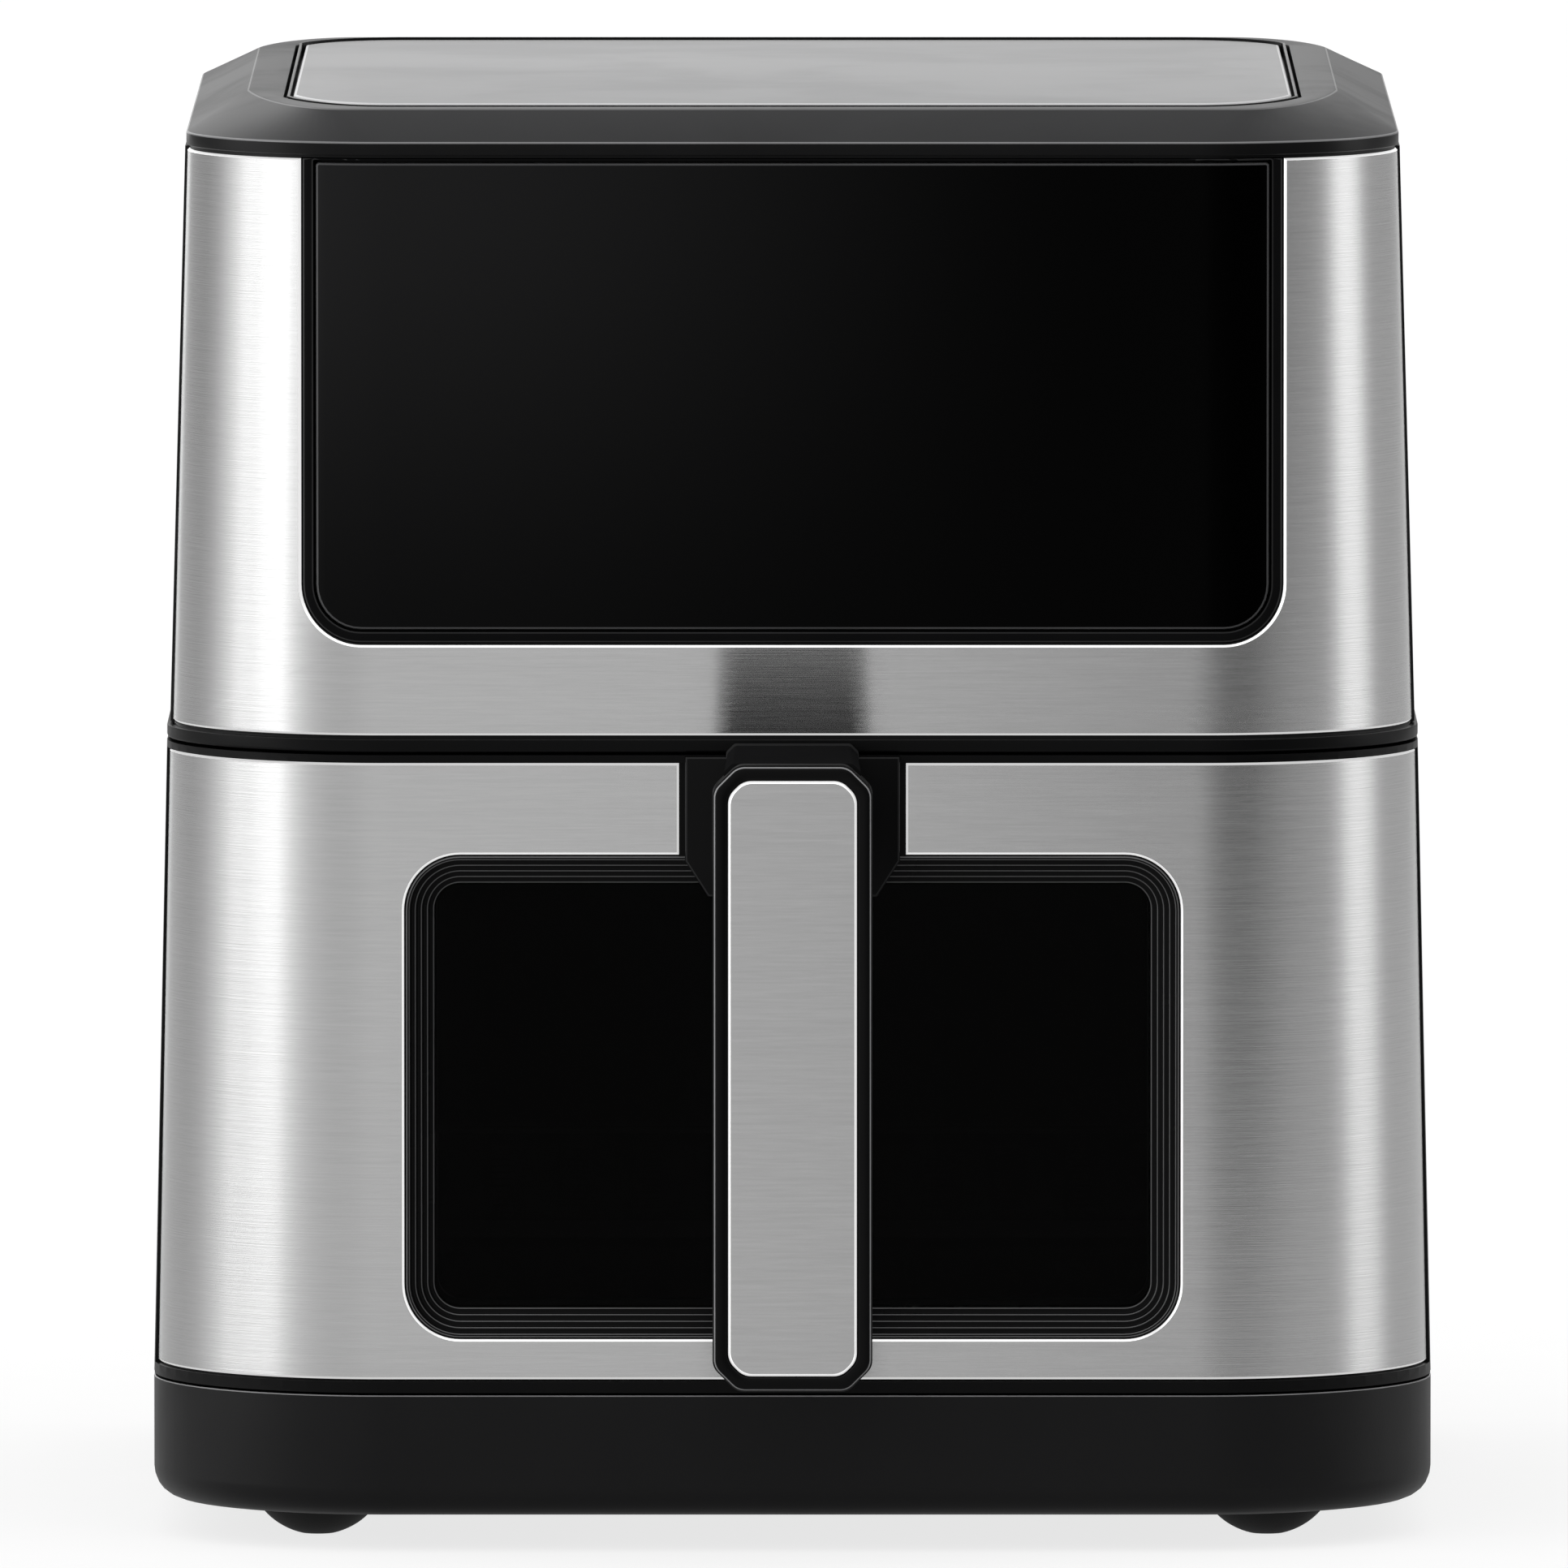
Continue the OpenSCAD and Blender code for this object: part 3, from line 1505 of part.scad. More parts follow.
// Upright grip and the neck that carries it, in one moulding
module handle_grip() {
    grip_back = handle_reach - grip_t;
    color("#1c1c1e")
    difference() {
        union() {
            forward_loft([
                [grip_back, grip_points(grip_bevel)],
                [grip_back + grip_bevel, grip_points(0)],
                [handle_reach - grip_bevel, grip_points(0)],
                [handle_reach, grip_points(grip_bevel)]
            ]);
            forward_loft([
                [bracket_proud, neck_points(neck_w, neck_z1)],
                [grip_back + grip_t / 2, neck_points(neck_w + 1, grip_z1)]
            ]);
        }
        front_prism(-handle_reach - cut, -handle_reach + inlay_d + fit) polygon(grip_points(inlay_border - 0.4));
        handle_screw_holes(-handle_screw_in - cut, 0, screw_r + fit);
    }
}

module handle_inlay() {
    color("#b9babc")
    front_prism(-handle_reach + inlay_set, -handle_reach + inlay_d) polygon(grip_points(inlay_border));
}

// Outline of the bracket, with its lower corners cut away
module bracket_outline(z0, z1) {
    w = bracket_w / 2;
    foot_z = window_z1 - sight_in - 2.6;
    slope = 8.3;
    cut_w = 5.3;
    intersection() {
        polygon([
            [w, z1], [-w, z1], [-w, foot_z + slope], [-w + cut_w, foot_z],
            [w - cut_w, foot_z], [w, foot_z + slope]
        ]);
        translate([-w, z0]) square([2 * w, z1 - z0]);
    }
}

// Block between the drawer front and the neck of the handle
module handle_bracket() {
    top = drawer_z1 - 0.2;
    color("#151516")
    difference() {
        union() {
            front_prism(-bracket_proud, -fit) bracket_outline(0, top);
            front_prism(-1, skin_seat) bracket_outline(window_z1 + 0.3, sheet_z1);
            front_prism(-1, step_front - fit) bracket_outline(0, window_z1 + 0.5);
        }
        handle_screw_holes(-bracket_proud - cut, skin_seat + cut, screw_r + fit);
    }
}

// Screws through the drawer frame and the bracket into the neck
module handle_screws() {
    color("#8a8a8a") {
        handle_screw_holes(-handle_screw_in, frame_in + 2, screw_r);
        handle_screw_holes(frame_in, frame_in + screw_head_h, screw_head_r);
    }
}

// ---------- Assembly ----------

base_tray();
rubber_feet();
base_screws();
lower_shell();
front_bulkhead();
seam_ring();
upper_shell();
upper_steel();
panel_bezel();
touch_glass();
board_carrier();
control_board();
display_module();
touch_springs();
lid_cover();
top_trim_ring();
top_panel();
cavity_liner();
insulation_blanket();
pan_rails();
heater_dome();
heating_element();
element_clips();
fan_guard();
temp_sensor();
thermal_fuse();
lamp_holder();
lamp_bulb();
lamp_lens();
air_duct();
rear_vent_cover();
vent_screws();
cord_inlet();
power_board();
motor_bracket();
motor_stator();
motor_windings();
motor_yoke();
motor_bearings();
motor_shaft();
motor_rotor();
hot_air_fan();
fan_nut();
cooling_fan();
drawer_switch();
switch_plunger();
drawer_frame();
drawer_steel();
window_frame();
window_glass();
drawer_inner_panel();
pan();
inner_gasket();
inner_glass();
handle_bracket();
handle_grip();
handle_inlay();
handle_screws();
crisper_plate();
plate_caps();
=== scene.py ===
"""Looks of the drawer air fryer: its skins, mouldings, glass and finishes, built around the fixed frame.

Shapes are worked out in millimetres and put into the meshes in metres.
X runs across, -Y is the front, +Z is up.
"""

import json
import math

import bmesh
import bpy
import numpy as np
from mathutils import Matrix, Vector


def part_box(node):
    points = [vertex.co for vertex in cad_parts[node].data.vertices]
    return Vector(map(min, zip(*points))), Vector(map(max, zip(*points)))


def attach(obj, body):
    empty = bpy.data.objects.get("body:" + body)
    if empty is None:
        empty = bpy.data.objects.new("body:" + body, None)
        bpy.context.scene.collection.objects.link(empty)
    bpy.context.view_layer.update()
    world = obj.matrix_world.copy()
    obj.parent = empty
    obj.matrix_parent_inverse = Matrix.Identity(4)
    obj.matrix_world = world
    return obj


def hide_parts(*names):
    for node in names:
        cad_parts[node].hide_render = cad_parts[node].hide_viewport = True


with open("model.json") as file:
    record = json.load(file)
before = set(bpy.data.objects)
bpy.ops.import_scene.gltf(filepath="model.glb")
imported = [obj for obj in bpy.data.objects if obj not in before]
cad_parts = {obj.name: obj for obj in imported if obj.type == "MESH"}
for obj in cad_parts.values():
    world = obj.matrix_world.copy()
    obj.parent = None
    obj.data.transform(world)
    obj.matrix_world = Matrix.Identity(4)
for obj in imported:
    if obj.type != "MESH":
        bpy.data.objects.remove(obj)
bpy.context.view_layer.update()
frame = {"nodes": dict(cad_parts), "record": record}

MM = 0.001


def box_mm(node):
    """Lowest and highest corner of a CAD node, in millimetres."""
    low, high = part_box(node)
    return np.array(low) / MM, np.array(high) / MM


# ---------- Sizes ----------

base_low, base_high = box_mm("base_tray")
ring_low, ring_high = box_mm("seam_ring")
upper_high = box_mm("upper_shell")[1]
lid_high = box_mm("lid_cover")[1]
steel_low, steel_high = box_mm("upper_steel")
door_high = box_mm("drawer_frame")[1]
sheet_low, sheet_high = box_mm("drawer_steel")
glass_low, glass_high = box_mm("touch_glass")
bezel_low, bezel_high = box_mm("panel_bezel")
window_low, window_high = box_mm("window_frame")
grip_low, grip_high = box_mm("handle_grip")
bracket_low, bracket_high = box_mm("handle_bracket")
panel_high = box_mm("top_panel")[1]

FRONT = base_low[1]
BACK = base_high[1]
Z_BASE = base_low[2]
Z_LOW = base_high[2]
Z_RING = ring_low[2]
Z_UP = ring_high[2]
Z_LID = upper_high[2]
Z_TOP = lid_high[2]
LID_IN = 0.3
CORNER = 54
STEP = 0.7
SHADOW_W = 0.6
SHADOW_D = 1.2
STEEL_SET = 0.6
STEEL_T = 0.6
WRAP = 47.0
LIP = 0.5

HEIGHTS = np.array([Z_LOW, Z_RING, Z_UP, Z_LID])
HALF_WIDTHS = np.array([base_high[0], ring_high[0], upper_high[0], lid_high[0] + LID_IN])
FLAT = HALF_WIDTHS[0] - CORNER


def half_w(z):
    """Half width of the body: straight between the base, the seam ring and the lid."""
    return np.interp(z, HEIGHTS, HALF_WIDTHS)


def set_back(z):
    """How far the body above the seam ring lies behind the base's front."""
    return np.where(np.asarray(z) > (Z_RING + Z_UP) / 2, STEP, 0.0)


# ---------- Outlines ----------

def arc(cx, cy, r, a0, a1, n):
    """Points of a circle about (cx, cy) from angle a0 to a1 in degrees, both ends included."""
    a = np.radians(np.linspace(a0, a1, n))
    return np.stack([cx + r * np.cos(a), cy + r * np.sin(a)], -1)


def line(p, q, n):
    """n evenly spaced points from p to q, both ends included."""
    t = np.linspace(0, 1, n)[:, None]
    return np.array(p) * (1 - t) + np.array(q) * t


def joined(*runs):
    """One run of points from several that meet end to end, with each meeting point kept once."""
    return np.concatenate([runs[0]] + [r[1:] for r in runs[1:]])


def stepped(*runs):
    """Numbers in runs of (first, last, count) that meet end to end, with each meeting number kept once."""
    return joined(*[line([first], [last], count) for first, last, count in runs])[:, 0]


def soft_bends(corners, r, n):
    """An arc of radius r at each corner, each a turn of 45 degrees. The first starts facing right."""
    back_off = r / math.cos(math.radians(22.5))
    runs = []
    for k, (x, z) in enumerate(corners):
        a = 45 * k
        away = math.radians(a + 22.5)
        runs.append(arc(x - back_off * math.cos(away), z - back_off * math.sin(away), r, a, a + 45, n))
    return runs


def loop_offset(points, by):
    """Closed loop of points moved to its right-hand side by a distance, with mitred corners."""
    d = np.roll(points, -1, 0) - points
    d /= np.linalg.norm(d, axis=1, keepdims=True)
    after = np.stack([d[:, 1], -d[:, 0]], -1)
    before = np.roll(after, 1, 0)
    return points + by * (before + after) / (1 + np.sum(before * after, 1, keepdims=True))


# ---------- Meshes ----------

def grid_faces(rows, columns, closed=False):
    """Quads of a grid of rows by columns, whose last column meets the first when closed."""
    index = np.arange(rows * columns).reshape(rows, columns)
    if closed:
        index = np.concatenate([index, index[:, :1]], 1)
    a, b = index[:-1, :-1], index[:-1, 1:]
    c, d = index[1:, 1:], index[1:, :-1]
    return np.stack([a, b, c, d], -1).reshape(-1, 4)


def finish_piece(obj, body, materials, replaces=(), sharp=32):
    """Smooth faces with sharp creases, the piece's finishes, and its place in the frame."""
    mesh = obj.data
    mesh.polygons.foreach_set("use_smooth", np.ones(len(mesh.polygons), bool))
    mesh.set_sharp_from_angle(angle=math.radians(sharp))
    for material in materials:
        mesh.materials.append(material)
    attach(obj, body)
    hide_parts(*replaces)
    return obj


def new_piece(name, vertices, faces, kinds=None, merge=1e-6):
    """Mesh object from points in millimetres, with its meeting points merged."""
    mesh = bpy.data.meshes.new(name)
    mesh.from_pydata((np.asarray(vertices, float) * MM).tolist(), [], [list(map(int, f)) for f in faces])
    if kinds is not None:
        mesh.polygons.foreach_set("material_index", np.asarray(kinds, np.int32))
    bm = bmesh.new()
    bm.from_mesh(mesh)
    bmesh.ops.remove_doubles(bm, verts=bm.verts, dist=merge)
    bmesh.ops.dissolve_degenerate(bm, dist=merge / 2, edges=bm.edges)
    bm.to_mesh(mesh)
    bm.free()
    obj = bpy.data.objects.new(name, mesh)
    bpy.context.scene.collection.objects.link(obj)
    return obj


def loft(name, outlines, heights, body, slot, materials, replaces=(), to_world=None, kinds=None, sharp=32):
    """Closed solid through a stack of outlines with the same number of points, with a flat face at each end.
    kinds gives each band between two outlines the number of its finish. The two flat faces take the first."""
    rows, columns = len(outlines), len(outlines[0])
    plan = np.stack(outlines)
    z = np.broadcast_to(np.asarray(heights, float)[:, None, None], (rows, columns, 1))
    points = np.concatenate([plan, z], -1).reshape(-1, 3)
    faces = grid_faces(rows, columns, closed=True).tolist()
    faces.append(list(range(columns))[::-1])
    faces.append(list(range((rows - 1) * columns, rows * columns)))
    if to_world is not None:
        points = to_world(points)
    if kinds is not None:
        kinds = np.concatenate([np.repeat(kinds, columns), [0, 0]])
    obj = new_piece(name, points, faces, kinds)
    return finish_piece(obj, body, materials, replaces, sharp)


def stack(outline, levels):
    """Outlines and heights of a loft, from levels of a height and the values that its outline takes."""
    return [outline(*values) for _, *values in levels], [height for height, *_ in levels]


def forward(points):
    """Turns (x, z, distance in front of the drawer) into the frame's (x, y, z)."""
    return np.stack([points[:, 0], FRONT - points[:, 2], points[:, 1]], -1)


def on_front(u, z, inset):
    """Point of the front and its corners. u runs along the face from the middle: straight up to the flat half
    width, then round the corner's quarter circle, then straight back along the side."""
    r = half_w(z) - FLAT - inset
    past = np.abs(u) - FLAT
    turn = np.clip(past / CORNER, 0, math.pi / 2)
    x = np.minimum(np.abs(u), FLAT) + r * np.sin(turn)
    y = FRONT + set_back(z) + inset + r * (1 - np.cos(turn)) + np.maximum(past - CORNER * math.pi / 2, 0)
    return np.stack([np.sign(u) * x, y, z], -1)


def along_face(x, z, inset):
    """Distance along the face of a point that lies x from the middle in the front view."""
    r = half_w(z) - FLAT - inset
    turn = np.arcsin(np.clip((np.abs(x) - FLAT) / r, 0, 1))
    return np.sign(x) * np.where(np.abs(x) > FLAT, FLAT + CORNER * turn, np.abs(x))


def sheet_end(z):
    """Distance along the face at which the steel has reached its depth behind the front."""
    z = np.asarray(z, float)
    r = half_w(z) - FLAT - STEEL_SET
    d = WRAP - set_back(z) - STEEL_SET
    return FLAT + CORNER * np.arccos(np.clip(1 - d / r, 0, 1)) + np.maximum(d - r, 0)


def seen_from_front(points, inset):
    """Places points (x, z) of the front view on the body's surface, moved inwards by inset."""
    x, z = points[..., 0], points[..., 1]
    return on_front(along_face(x, z, inset), z, inset)


def unrolled(points, inset):
    """Places points (u, z) of the unrolled front on the body's surface, moved inwards by inset."""
    return on_front(points[..., 0], points[..., 1], inset)


def flattened(points):
    """Turns points (x, z) of the front view into points (u, z) of the unrolled steel."""
    return np.stack([along_face(points[:, 0], points[:, 1], STEEL_SET), points[:, 1]], -1)


def rim_of(grid):
    """Boundary of a grid of points, in one closed loop with the grid on its right-hand side."""
    return np.concatenate([grid[:, 0], grid[-1, 1:], grid[-2::-1, -1], grid[0, -2:0:-1]])


def layered(name, grid_of, profile, place, body, materials, replaces=(), edge_kind=0):
    """Solid sheet: a face, a profile of (inset, depth) carried around its boundary, and a back.
    grid_of(inset) gives the face's points moved in from its edge. place(points, depth) puts them in space."""
    face, back = [place(grid_of(inset), depth) for inset, depth in (profile[0], profile[-1])]
    quads = grid_faces(*face.shape[:2])
    size = face.shape[0] * face.shape[1]
    loops = [place(rim_of(grid_of(inset)), depth) for inset, depth in profile]
    band = grid_faces(len(loops), len(loops[0]), closed=True)
    faces = np.concatenate([quads, quads[:, ::-1] + size, band + 2 * size])
    kinds = np.repeat([0, edge_kind], [len(quads), len(quads) + len(band)])
    points = np.concatenate([face.reshape(-1, 3), back.reshape(-1, 3), *loops])
    obj = new_piece(name, points, faces.tolist(), kinds)
    return finish_piece(obj, body, materials, replaces)


def blend_grid(inner, outer, rows, inset):
    """Grid between two open runs of points, as a straight blend, moved in from its whole edge by inset."""
    t = np.linspace(0, 1, rows)[None, :, None]
    full = inner[:, None] * (1 - t) + outer[:, None] * t
    if inset:
        rim = loop_offset(rim_of(full), inset)
        n = len(inner)
        inner = rim[:n]
        outer = rim[n + rows - 2:2 * n + rows - 2][::-1]
        full = inner[:, None] * (1 - t) + outer[:, None] * t
    return full


def pane_grid(hw, z0, z1, r0, r1, inset, columns=60, rows=24, n=10):
    """Grid over a rounded rectangle in the front view: each row at one height runs from side to side.
    r0 rounds the lower corners and r1 the upper ones."""
    hw, z0, z1 = hw - inset, z0 + inset, z1 - inset
    low = arc(hw - (r0 - inset), z0 + r0 - inset, r0 - inset, 270, 360, n)
    top = arc(hw - (r1 - inset), z1 - r1 + inset, r1 - inset, 0, 90, n)
    side = joined(low, line(low[-1], top[0], rows), top)
    x = side[:, 0][:, None] * np.linspace(-1, 1, columns)[None]
    return np.stack([x, np.broadcast_to(side[:, 1][:, None], x.shape)], -1)


def ring_piece(name, loops, body, materials, replaces=(), kinds=None, sharp=32):
    """Closed ring: a closed profile of loops, each with the same number of points, joined last to first.
    kinds gives each band between two loops the number of its finish."""
    rows, columns = len(loops), len(loops[0])
    points = np.stack(loops + [loops[0]]).reshape(-1, 3)
    if kinds is not None:
        kinds = np.repeat(kinds, columns)
    obj = new_piece(name, points, grid_faces(rows + 1, columns, closed=True).tolist(), kinds)
    return finish_piece(obj, body, materials, replaces, sharp)


# ---------- Finishes ----------

def new_group(name, inputs, outputs):
    """Empty shader node group with named sockets. Returns the tree, its input node and its output node."""
    tree = bpy.data.node_groups.new(name, "ShaderNodeTree")
    for label, kind, value in inputs:
        socket = tree.interface.new_socket(label, in_out="INPUT", socket_type=kind)
        if value is not None:
            socket.default_value = value
    for label in outputs:
        tree.interface.new_socket(label, in_out="OUTPUT", socket_type="NodeSocketFloat")
    return tree, tree.nodes.new("NodeGroupInput"), tree.nodes.new("NodeGroupOutput")


def add(tree, kind, links=None, **settings):
    """New node with settings on it, and its inputs linked to sockets or set to numbers."""
    node = tree.nodes.new(kind)
    for key, value in settings.items():
        setattr(node, key, value)
    for key, value in (links or {}).items():
        if isinstance(value, bpy.types.NodeSocket):
            tree.links.new(value, node.inputs[key])
        else:
            node.inputs[key].default_value = value
    return node


def maths(tree, operation, a, b=0.0):
    """Result of a maths node on one or two values."""
    return add(tree, "ShaderNodeMath", {0: a, 1: b}, operation=operation).outputs[0]


def smooth(tree, value, start, end, low=0.0, high=1.0):
    """A value turned into low up to start and high from end on, with a soft change between."""
    node = add(tree, "ShaderNodeMapRange", {
        "Value": value, "From Min": start, "From Max": end, "To Min": low, "To Max": high},
        interpolation_type="SMOOTHSTEP")
    return node.outputs["Result"]


def noise(tree, vector, scale, detail, rough=0.5, distortion=0.0):
    """Noise texture, as a 0 to 1 value."""
    node = add(tree, "ShaderNodeTexNoise", {
        "Vector": vector, "Scale": scale, "Detail": detail, "Roughness": rough, "Distortion": distortion})
    return node.outputs["Fac"]


def grain_group():
    """Spark-eroded grain of a mould: fine noise for the height, broad noise for the tone."""
    tree, given, out = new_group("moulded_grain", [
        ("Vector", "NodeSocketVector", None), ("Scale", "NodeSocketFloat", 2500.0)], ["Height", "Tone"])
    fine = noise(tree, given.outputs["Vector"], given.outputs["Scale"], 2.0, 0.6)
    broad = noise(tree, given.outputs["Vector"], 45.0, 4.0, 0.55)
    tree.links.new(fine, out.inputs["Height"])
    tree.links.new(broad, out.inputs["Tone"])
    return tree


def brushed_group():
    """Brushed lines: stretched noise, fine for the height, and broad with shorter streaks for the tone."""
    tree, given, out = new_group("brushed_lines", [
        ("Vector", "NodeSocketVector", None), ("Along", "NodeSocketFloat", 30.0),
        ("Across", "NodeSocketFloat", 3000.0)], ["Height", "Tone"])
    stretch = add(tree, "ShaderNodeCombineXYZ", {
        "X": given.outputs["Along"], "Y": given.outputs["Along"], "Z": given.outputs["Across"]})
    lines = add(tree, "ShaderNodeVectorMath", {0: given.outputs["Vector"], 1: stretch.outputs[0]},
                operation="MULTIPLY").outputs[0]
    short = add(tree, "ShaderNodeVectorMath", {0: lines, 1: (3.0, 3.0, 0.7)}, operation="MULTIPLY").outputs[0]
    fine = noise(tree, lines, 1.0, 3.0, 0.7)
    broad = noise(tree, lines, 0.22, 5.0, 0.75)
    streaks = noise(tree, short, 1.0, 2.0)
    tree.links.new(fine, out.inputs["Height"])
    tree.links.new(maths(tree, "MULTIPLY", maths(tree, "ADD", broad, streaks), 0.5), out.inputs["Tone"])
    return tree


def handling_group():
    """Faint marks of handling: cloudy noise, sharpened into patches."""
    tree, given, out = new_group("handling", [
        ("Vector", "NodeSocketVector", None), ("Scale", "NodeSocketFloat", 14.0)], ["Patches"])
    clouds = noise(tree, given.outputs["Vector"], given.outputs["Scale"], 6.0, 0.62, distortion=0.4)
    tree.links.new(smooth(tree, clouds, 0.4, 0.66), out.inputs["Patches"])
    return tree


GRAIN = grain_group()
BRUSHED = brushed_group()
HANDLING = handling_group()

# Object coordinates in metres: where the strip above the handle and the glass's painted sheen begin and end
STRIP_HALF = (0.0153, 0.0205)
PAINTED_SHEEN_ACROSS = (-0.115, 0.08)
PAINTED_SHEEN_UP = (0.2, 0.33)


def new_material(name):
    """Node material with its Principled shader and its Object coordinates."""
    material = bpy.data.materials.new(name)
    material.use_nodes = True
    tree = material.node_tree
    shader = next(n for n in tree.nodes if n.type == "BSDF_PRINCIPLED")
    place = tree.nodes.new("ShaderNodeTexCoord").outputs["Object"]
    return material, tree, shader, place


def use_group(tree, group, place, **values):
    """One use of a shared effect, with its own values."""
    node = tree.nodes.new("ShaderNodeGroup")
    node.node_tree = group
    tree.links.new(place, node.inputs["Vector"])
    for key, value in values.items():
        node.inputs[key].default_value = value
    return node


def vary(tree, socket, low, high, out):
    """Links a 0 to 1 value to a shader input as a number between low and high."""
    node = add(tree, "ShaderNodeMapRange", {"Value": socket, "To Min": low, "To Max": high})
    tree.links.new(node.outputs["Result"], out)


def tint(tree, socket, dark, light, out):
    """Links a 0 to 1 value to a colour input as a blend of two colours."""
    node = add(tree, "ShaderNodeMix", {"Factor": socket}, data_type="RGBA")
    colours = [s for s in node.inputs if s.type == "RGBA"]
    colours[0].default_value = (*dark, 1)
    colours[1].default_value = (*light, 1)
    result = next(s for s in node.outputs if s.type == "RGBA")
    tree.links.new(result, out)


def shade(colour, by):
    """A colour made darker or lighter, up to white."""
    return tuple(min(1, c * by) for c in colour)


def mottle(tree, socket, colour, spread, out):
    """Links a 0 to 1 value to a colour input as a colour that is darker or lighter by up to a share."""
    tint(tree, socket, shade(colour, 1 - spread), shade(colour, 1 + spread), out)


def relief(tree, texture, depth):
    """Bump of a texture's height, by a depth in millimetres."""
    return add(tree, "ShaderNodeBump", {
        "Height": texture.outputs["Height"], "Distance": depth * MM, "Strength": 1.0})


def moulded(name, colour, rough, grain=2500, depth=0.02, spread=0.2, specular=0.5):
    """Moulded or painted surface with fine grain, uneven tone and faint handling marks."""
    material, tree, shader, place = new_material(name)
    texture = use_group(tree, GRAIN, place, Scale=grain)
    marks = use_group(tree, HANDLING, place)
    mottle(tree, texture.outputs["Tone"], colour, spread, shader.inputs["Base Color"])
    vary(tree, marks.outputs["Patches"], rough, rough + 0.06, shader.inputs["Roughness"])
    tree.links.new(relief(tree, texture, depth).outputs["Normal"], shader.inputs["Normal"])
    shader.inputs["Specular IOR Level"].default_value = specular
    return material


def painted_highlight_edging(name, colour, rough=0.3, specular=0.5):
    """Narrow edge of a piece, painted lighter than the piece's own colour as a highlight line, with hardly
    any grain.
    """
    return moulded(name, colour, rough, grain=900, depth=0.002, specular=specular)


def above_handle(tree, place):
    """Mask of the strip of steel above the handle: 1 in it, fading to 0 beside it, and 0 below the seam."""
    split = add(tree, "ShaderNodeSeparateXYZ", {"Vector": place})
    near = smooth(tree, maths(tree, "ABSOLUTE", split.outputs["X"]), *STRIP_HALF, 1.0, 0.0)
    above = maths(tree, "GREATER_THAN", split.outputs["Z"], Z_RING * MM)
    return maths(tree, "MULTIPLY", near, above)


def brushed(name, colour, rough, along=30, across=3000, depth=0.004, spread=0.06, crown=0.0, anisotropic=0.85,
            glow=0.0, tip=0.0):
    """Brushed metal: stretched lines in height, tone and roughness, and a crown that is shading alone.
    With a tip, the shading also turns down above the handle. A glow is a painted highlight: white emission
    that keeps a cut edge bright in the dark."""
    material, tree, shader, place = new_material(name)
    texture = use_group(tree, BRUSHED, place, Along=along, Across=across)
    mottle(tree, texture.outputs["Tone"], colour, spread, shader.inputs["Base Color"])
    vary(tree, texture.outputs["Tone"], rough - 0.04, rough + 0.04, shader.inputs["Roughness"])
    bump = relief(tree, texture, depth)
    if crown:
        x = add(tree, "ShaderNodeSeparateXYZ", {"Vector": place}).outputs["X"]
        bowed = maths(tree, "MULTIPLY", maths(tree, "MULTIPLY", x, x), -crown)
        bow = add(tree, "ShaderNodeBump", {"Height": bowed, "Distance": 1.0, "Strength": 1.0})
        facing = bow.outputs["Normal"]
        if tip:
            turned = add(tree, "ShaderNodeVectorMath", {0: (0, 0, -tip)}, operation="SCALE")
            tree.links.new(above_handle(tree, place), turned.inputs["Scale"])
            tipped = add(tree, "ShaderNodeVectorMath", {0: facing, 1: turned.outputs[0]}, operation="ADD")
            even = add(tree, "ShaderNodeVectorMath", {0: tipped.outputs[0]}, operation="NORMALIZE")
            facing = even.outputs[0]
        tree.links.new(facing, bump.inputs["Normal"])
    tree.links.new(bump.outputs["Normal"], shader.inputs["Normal"])
    tangent = add(tree, "ShaderNodeTangent", direction_type="RADIAL", axis="Z")
    tree.links.new(tangent.outputs["Tangent"], shader.inputs["Tangent"])
    shader.inputs["Metallic"].default_value = 1.0
    shader.inputs["Anisotropic"].default_value = anisotropic
    shader.inputs["Anisotropic Rotation"].default_value = 0.25
    # Glow: white emission on an edge that is no lamp, a painted highlight
    shader.inputs["Emission Color"].default_value = (1, 1, 1, 1)
    shader.inputs["Emission Strength"].default_value = glow
    return material


def dark_glass(name):
    """Opaque black glass with a painted sheen: its colour is lightened towards its upper left, as a painted
    reflection.
    """
    material, tree, shader, place = new_material(name)
    split = add(tree, "ShaderNodeSeparateXYZ", {"Vector": place})
    across = smooth(tree, split.outputs["X"], *PAINTED_SHEEN_ACROSS, 1.0, 0.0)
    upward = smooth(tree, split.outputs["Z"], *PAINTED_SHEEN_UP, 0.25)
    # Painted sheen: colour lightened towards the upper left in place of a reflection
    painted_sheen = maths(tree, "MULTIPLY", across, upward)
    tint(tree, painted_sheen, (0.0004, 0.0004, 0.0004), (0.02, 0.02, 0.0205), shader.inputs["Base Color"])
    marks = use_group(tree, HANDLING, place)
    vary(tree, marks.outputs["Patches"], 0.05, 0.09, shader.inputs["Roughness"])
    shader.inputs["Specular IOR Level"].default_value = 0.03
    return material


def clear(name, colour, rough, ior=1.45, specular=0.5):
    """Glass pane: see-through, with faint smears in its roughness."""
    material, tree, shader, place = new_material(name)
    marks = use_group(tree, HANDLING, place, Scale=20.0)
    tint(tree, marks.outputs["Patches"], colour, shade(colour, 0.92), shader.inputs["Base Color"])
    vary(tree, marks.outputs["Patches"], rough, rough + 0.03, shader.inputs["Roughness"])
    shader.inputs["Transmission Weight"].default_value = 1.0
    shader.inputs["IOR"].default_value = ior
    shader.inputs["Specular IOR Level"].default_value = specular
    return material


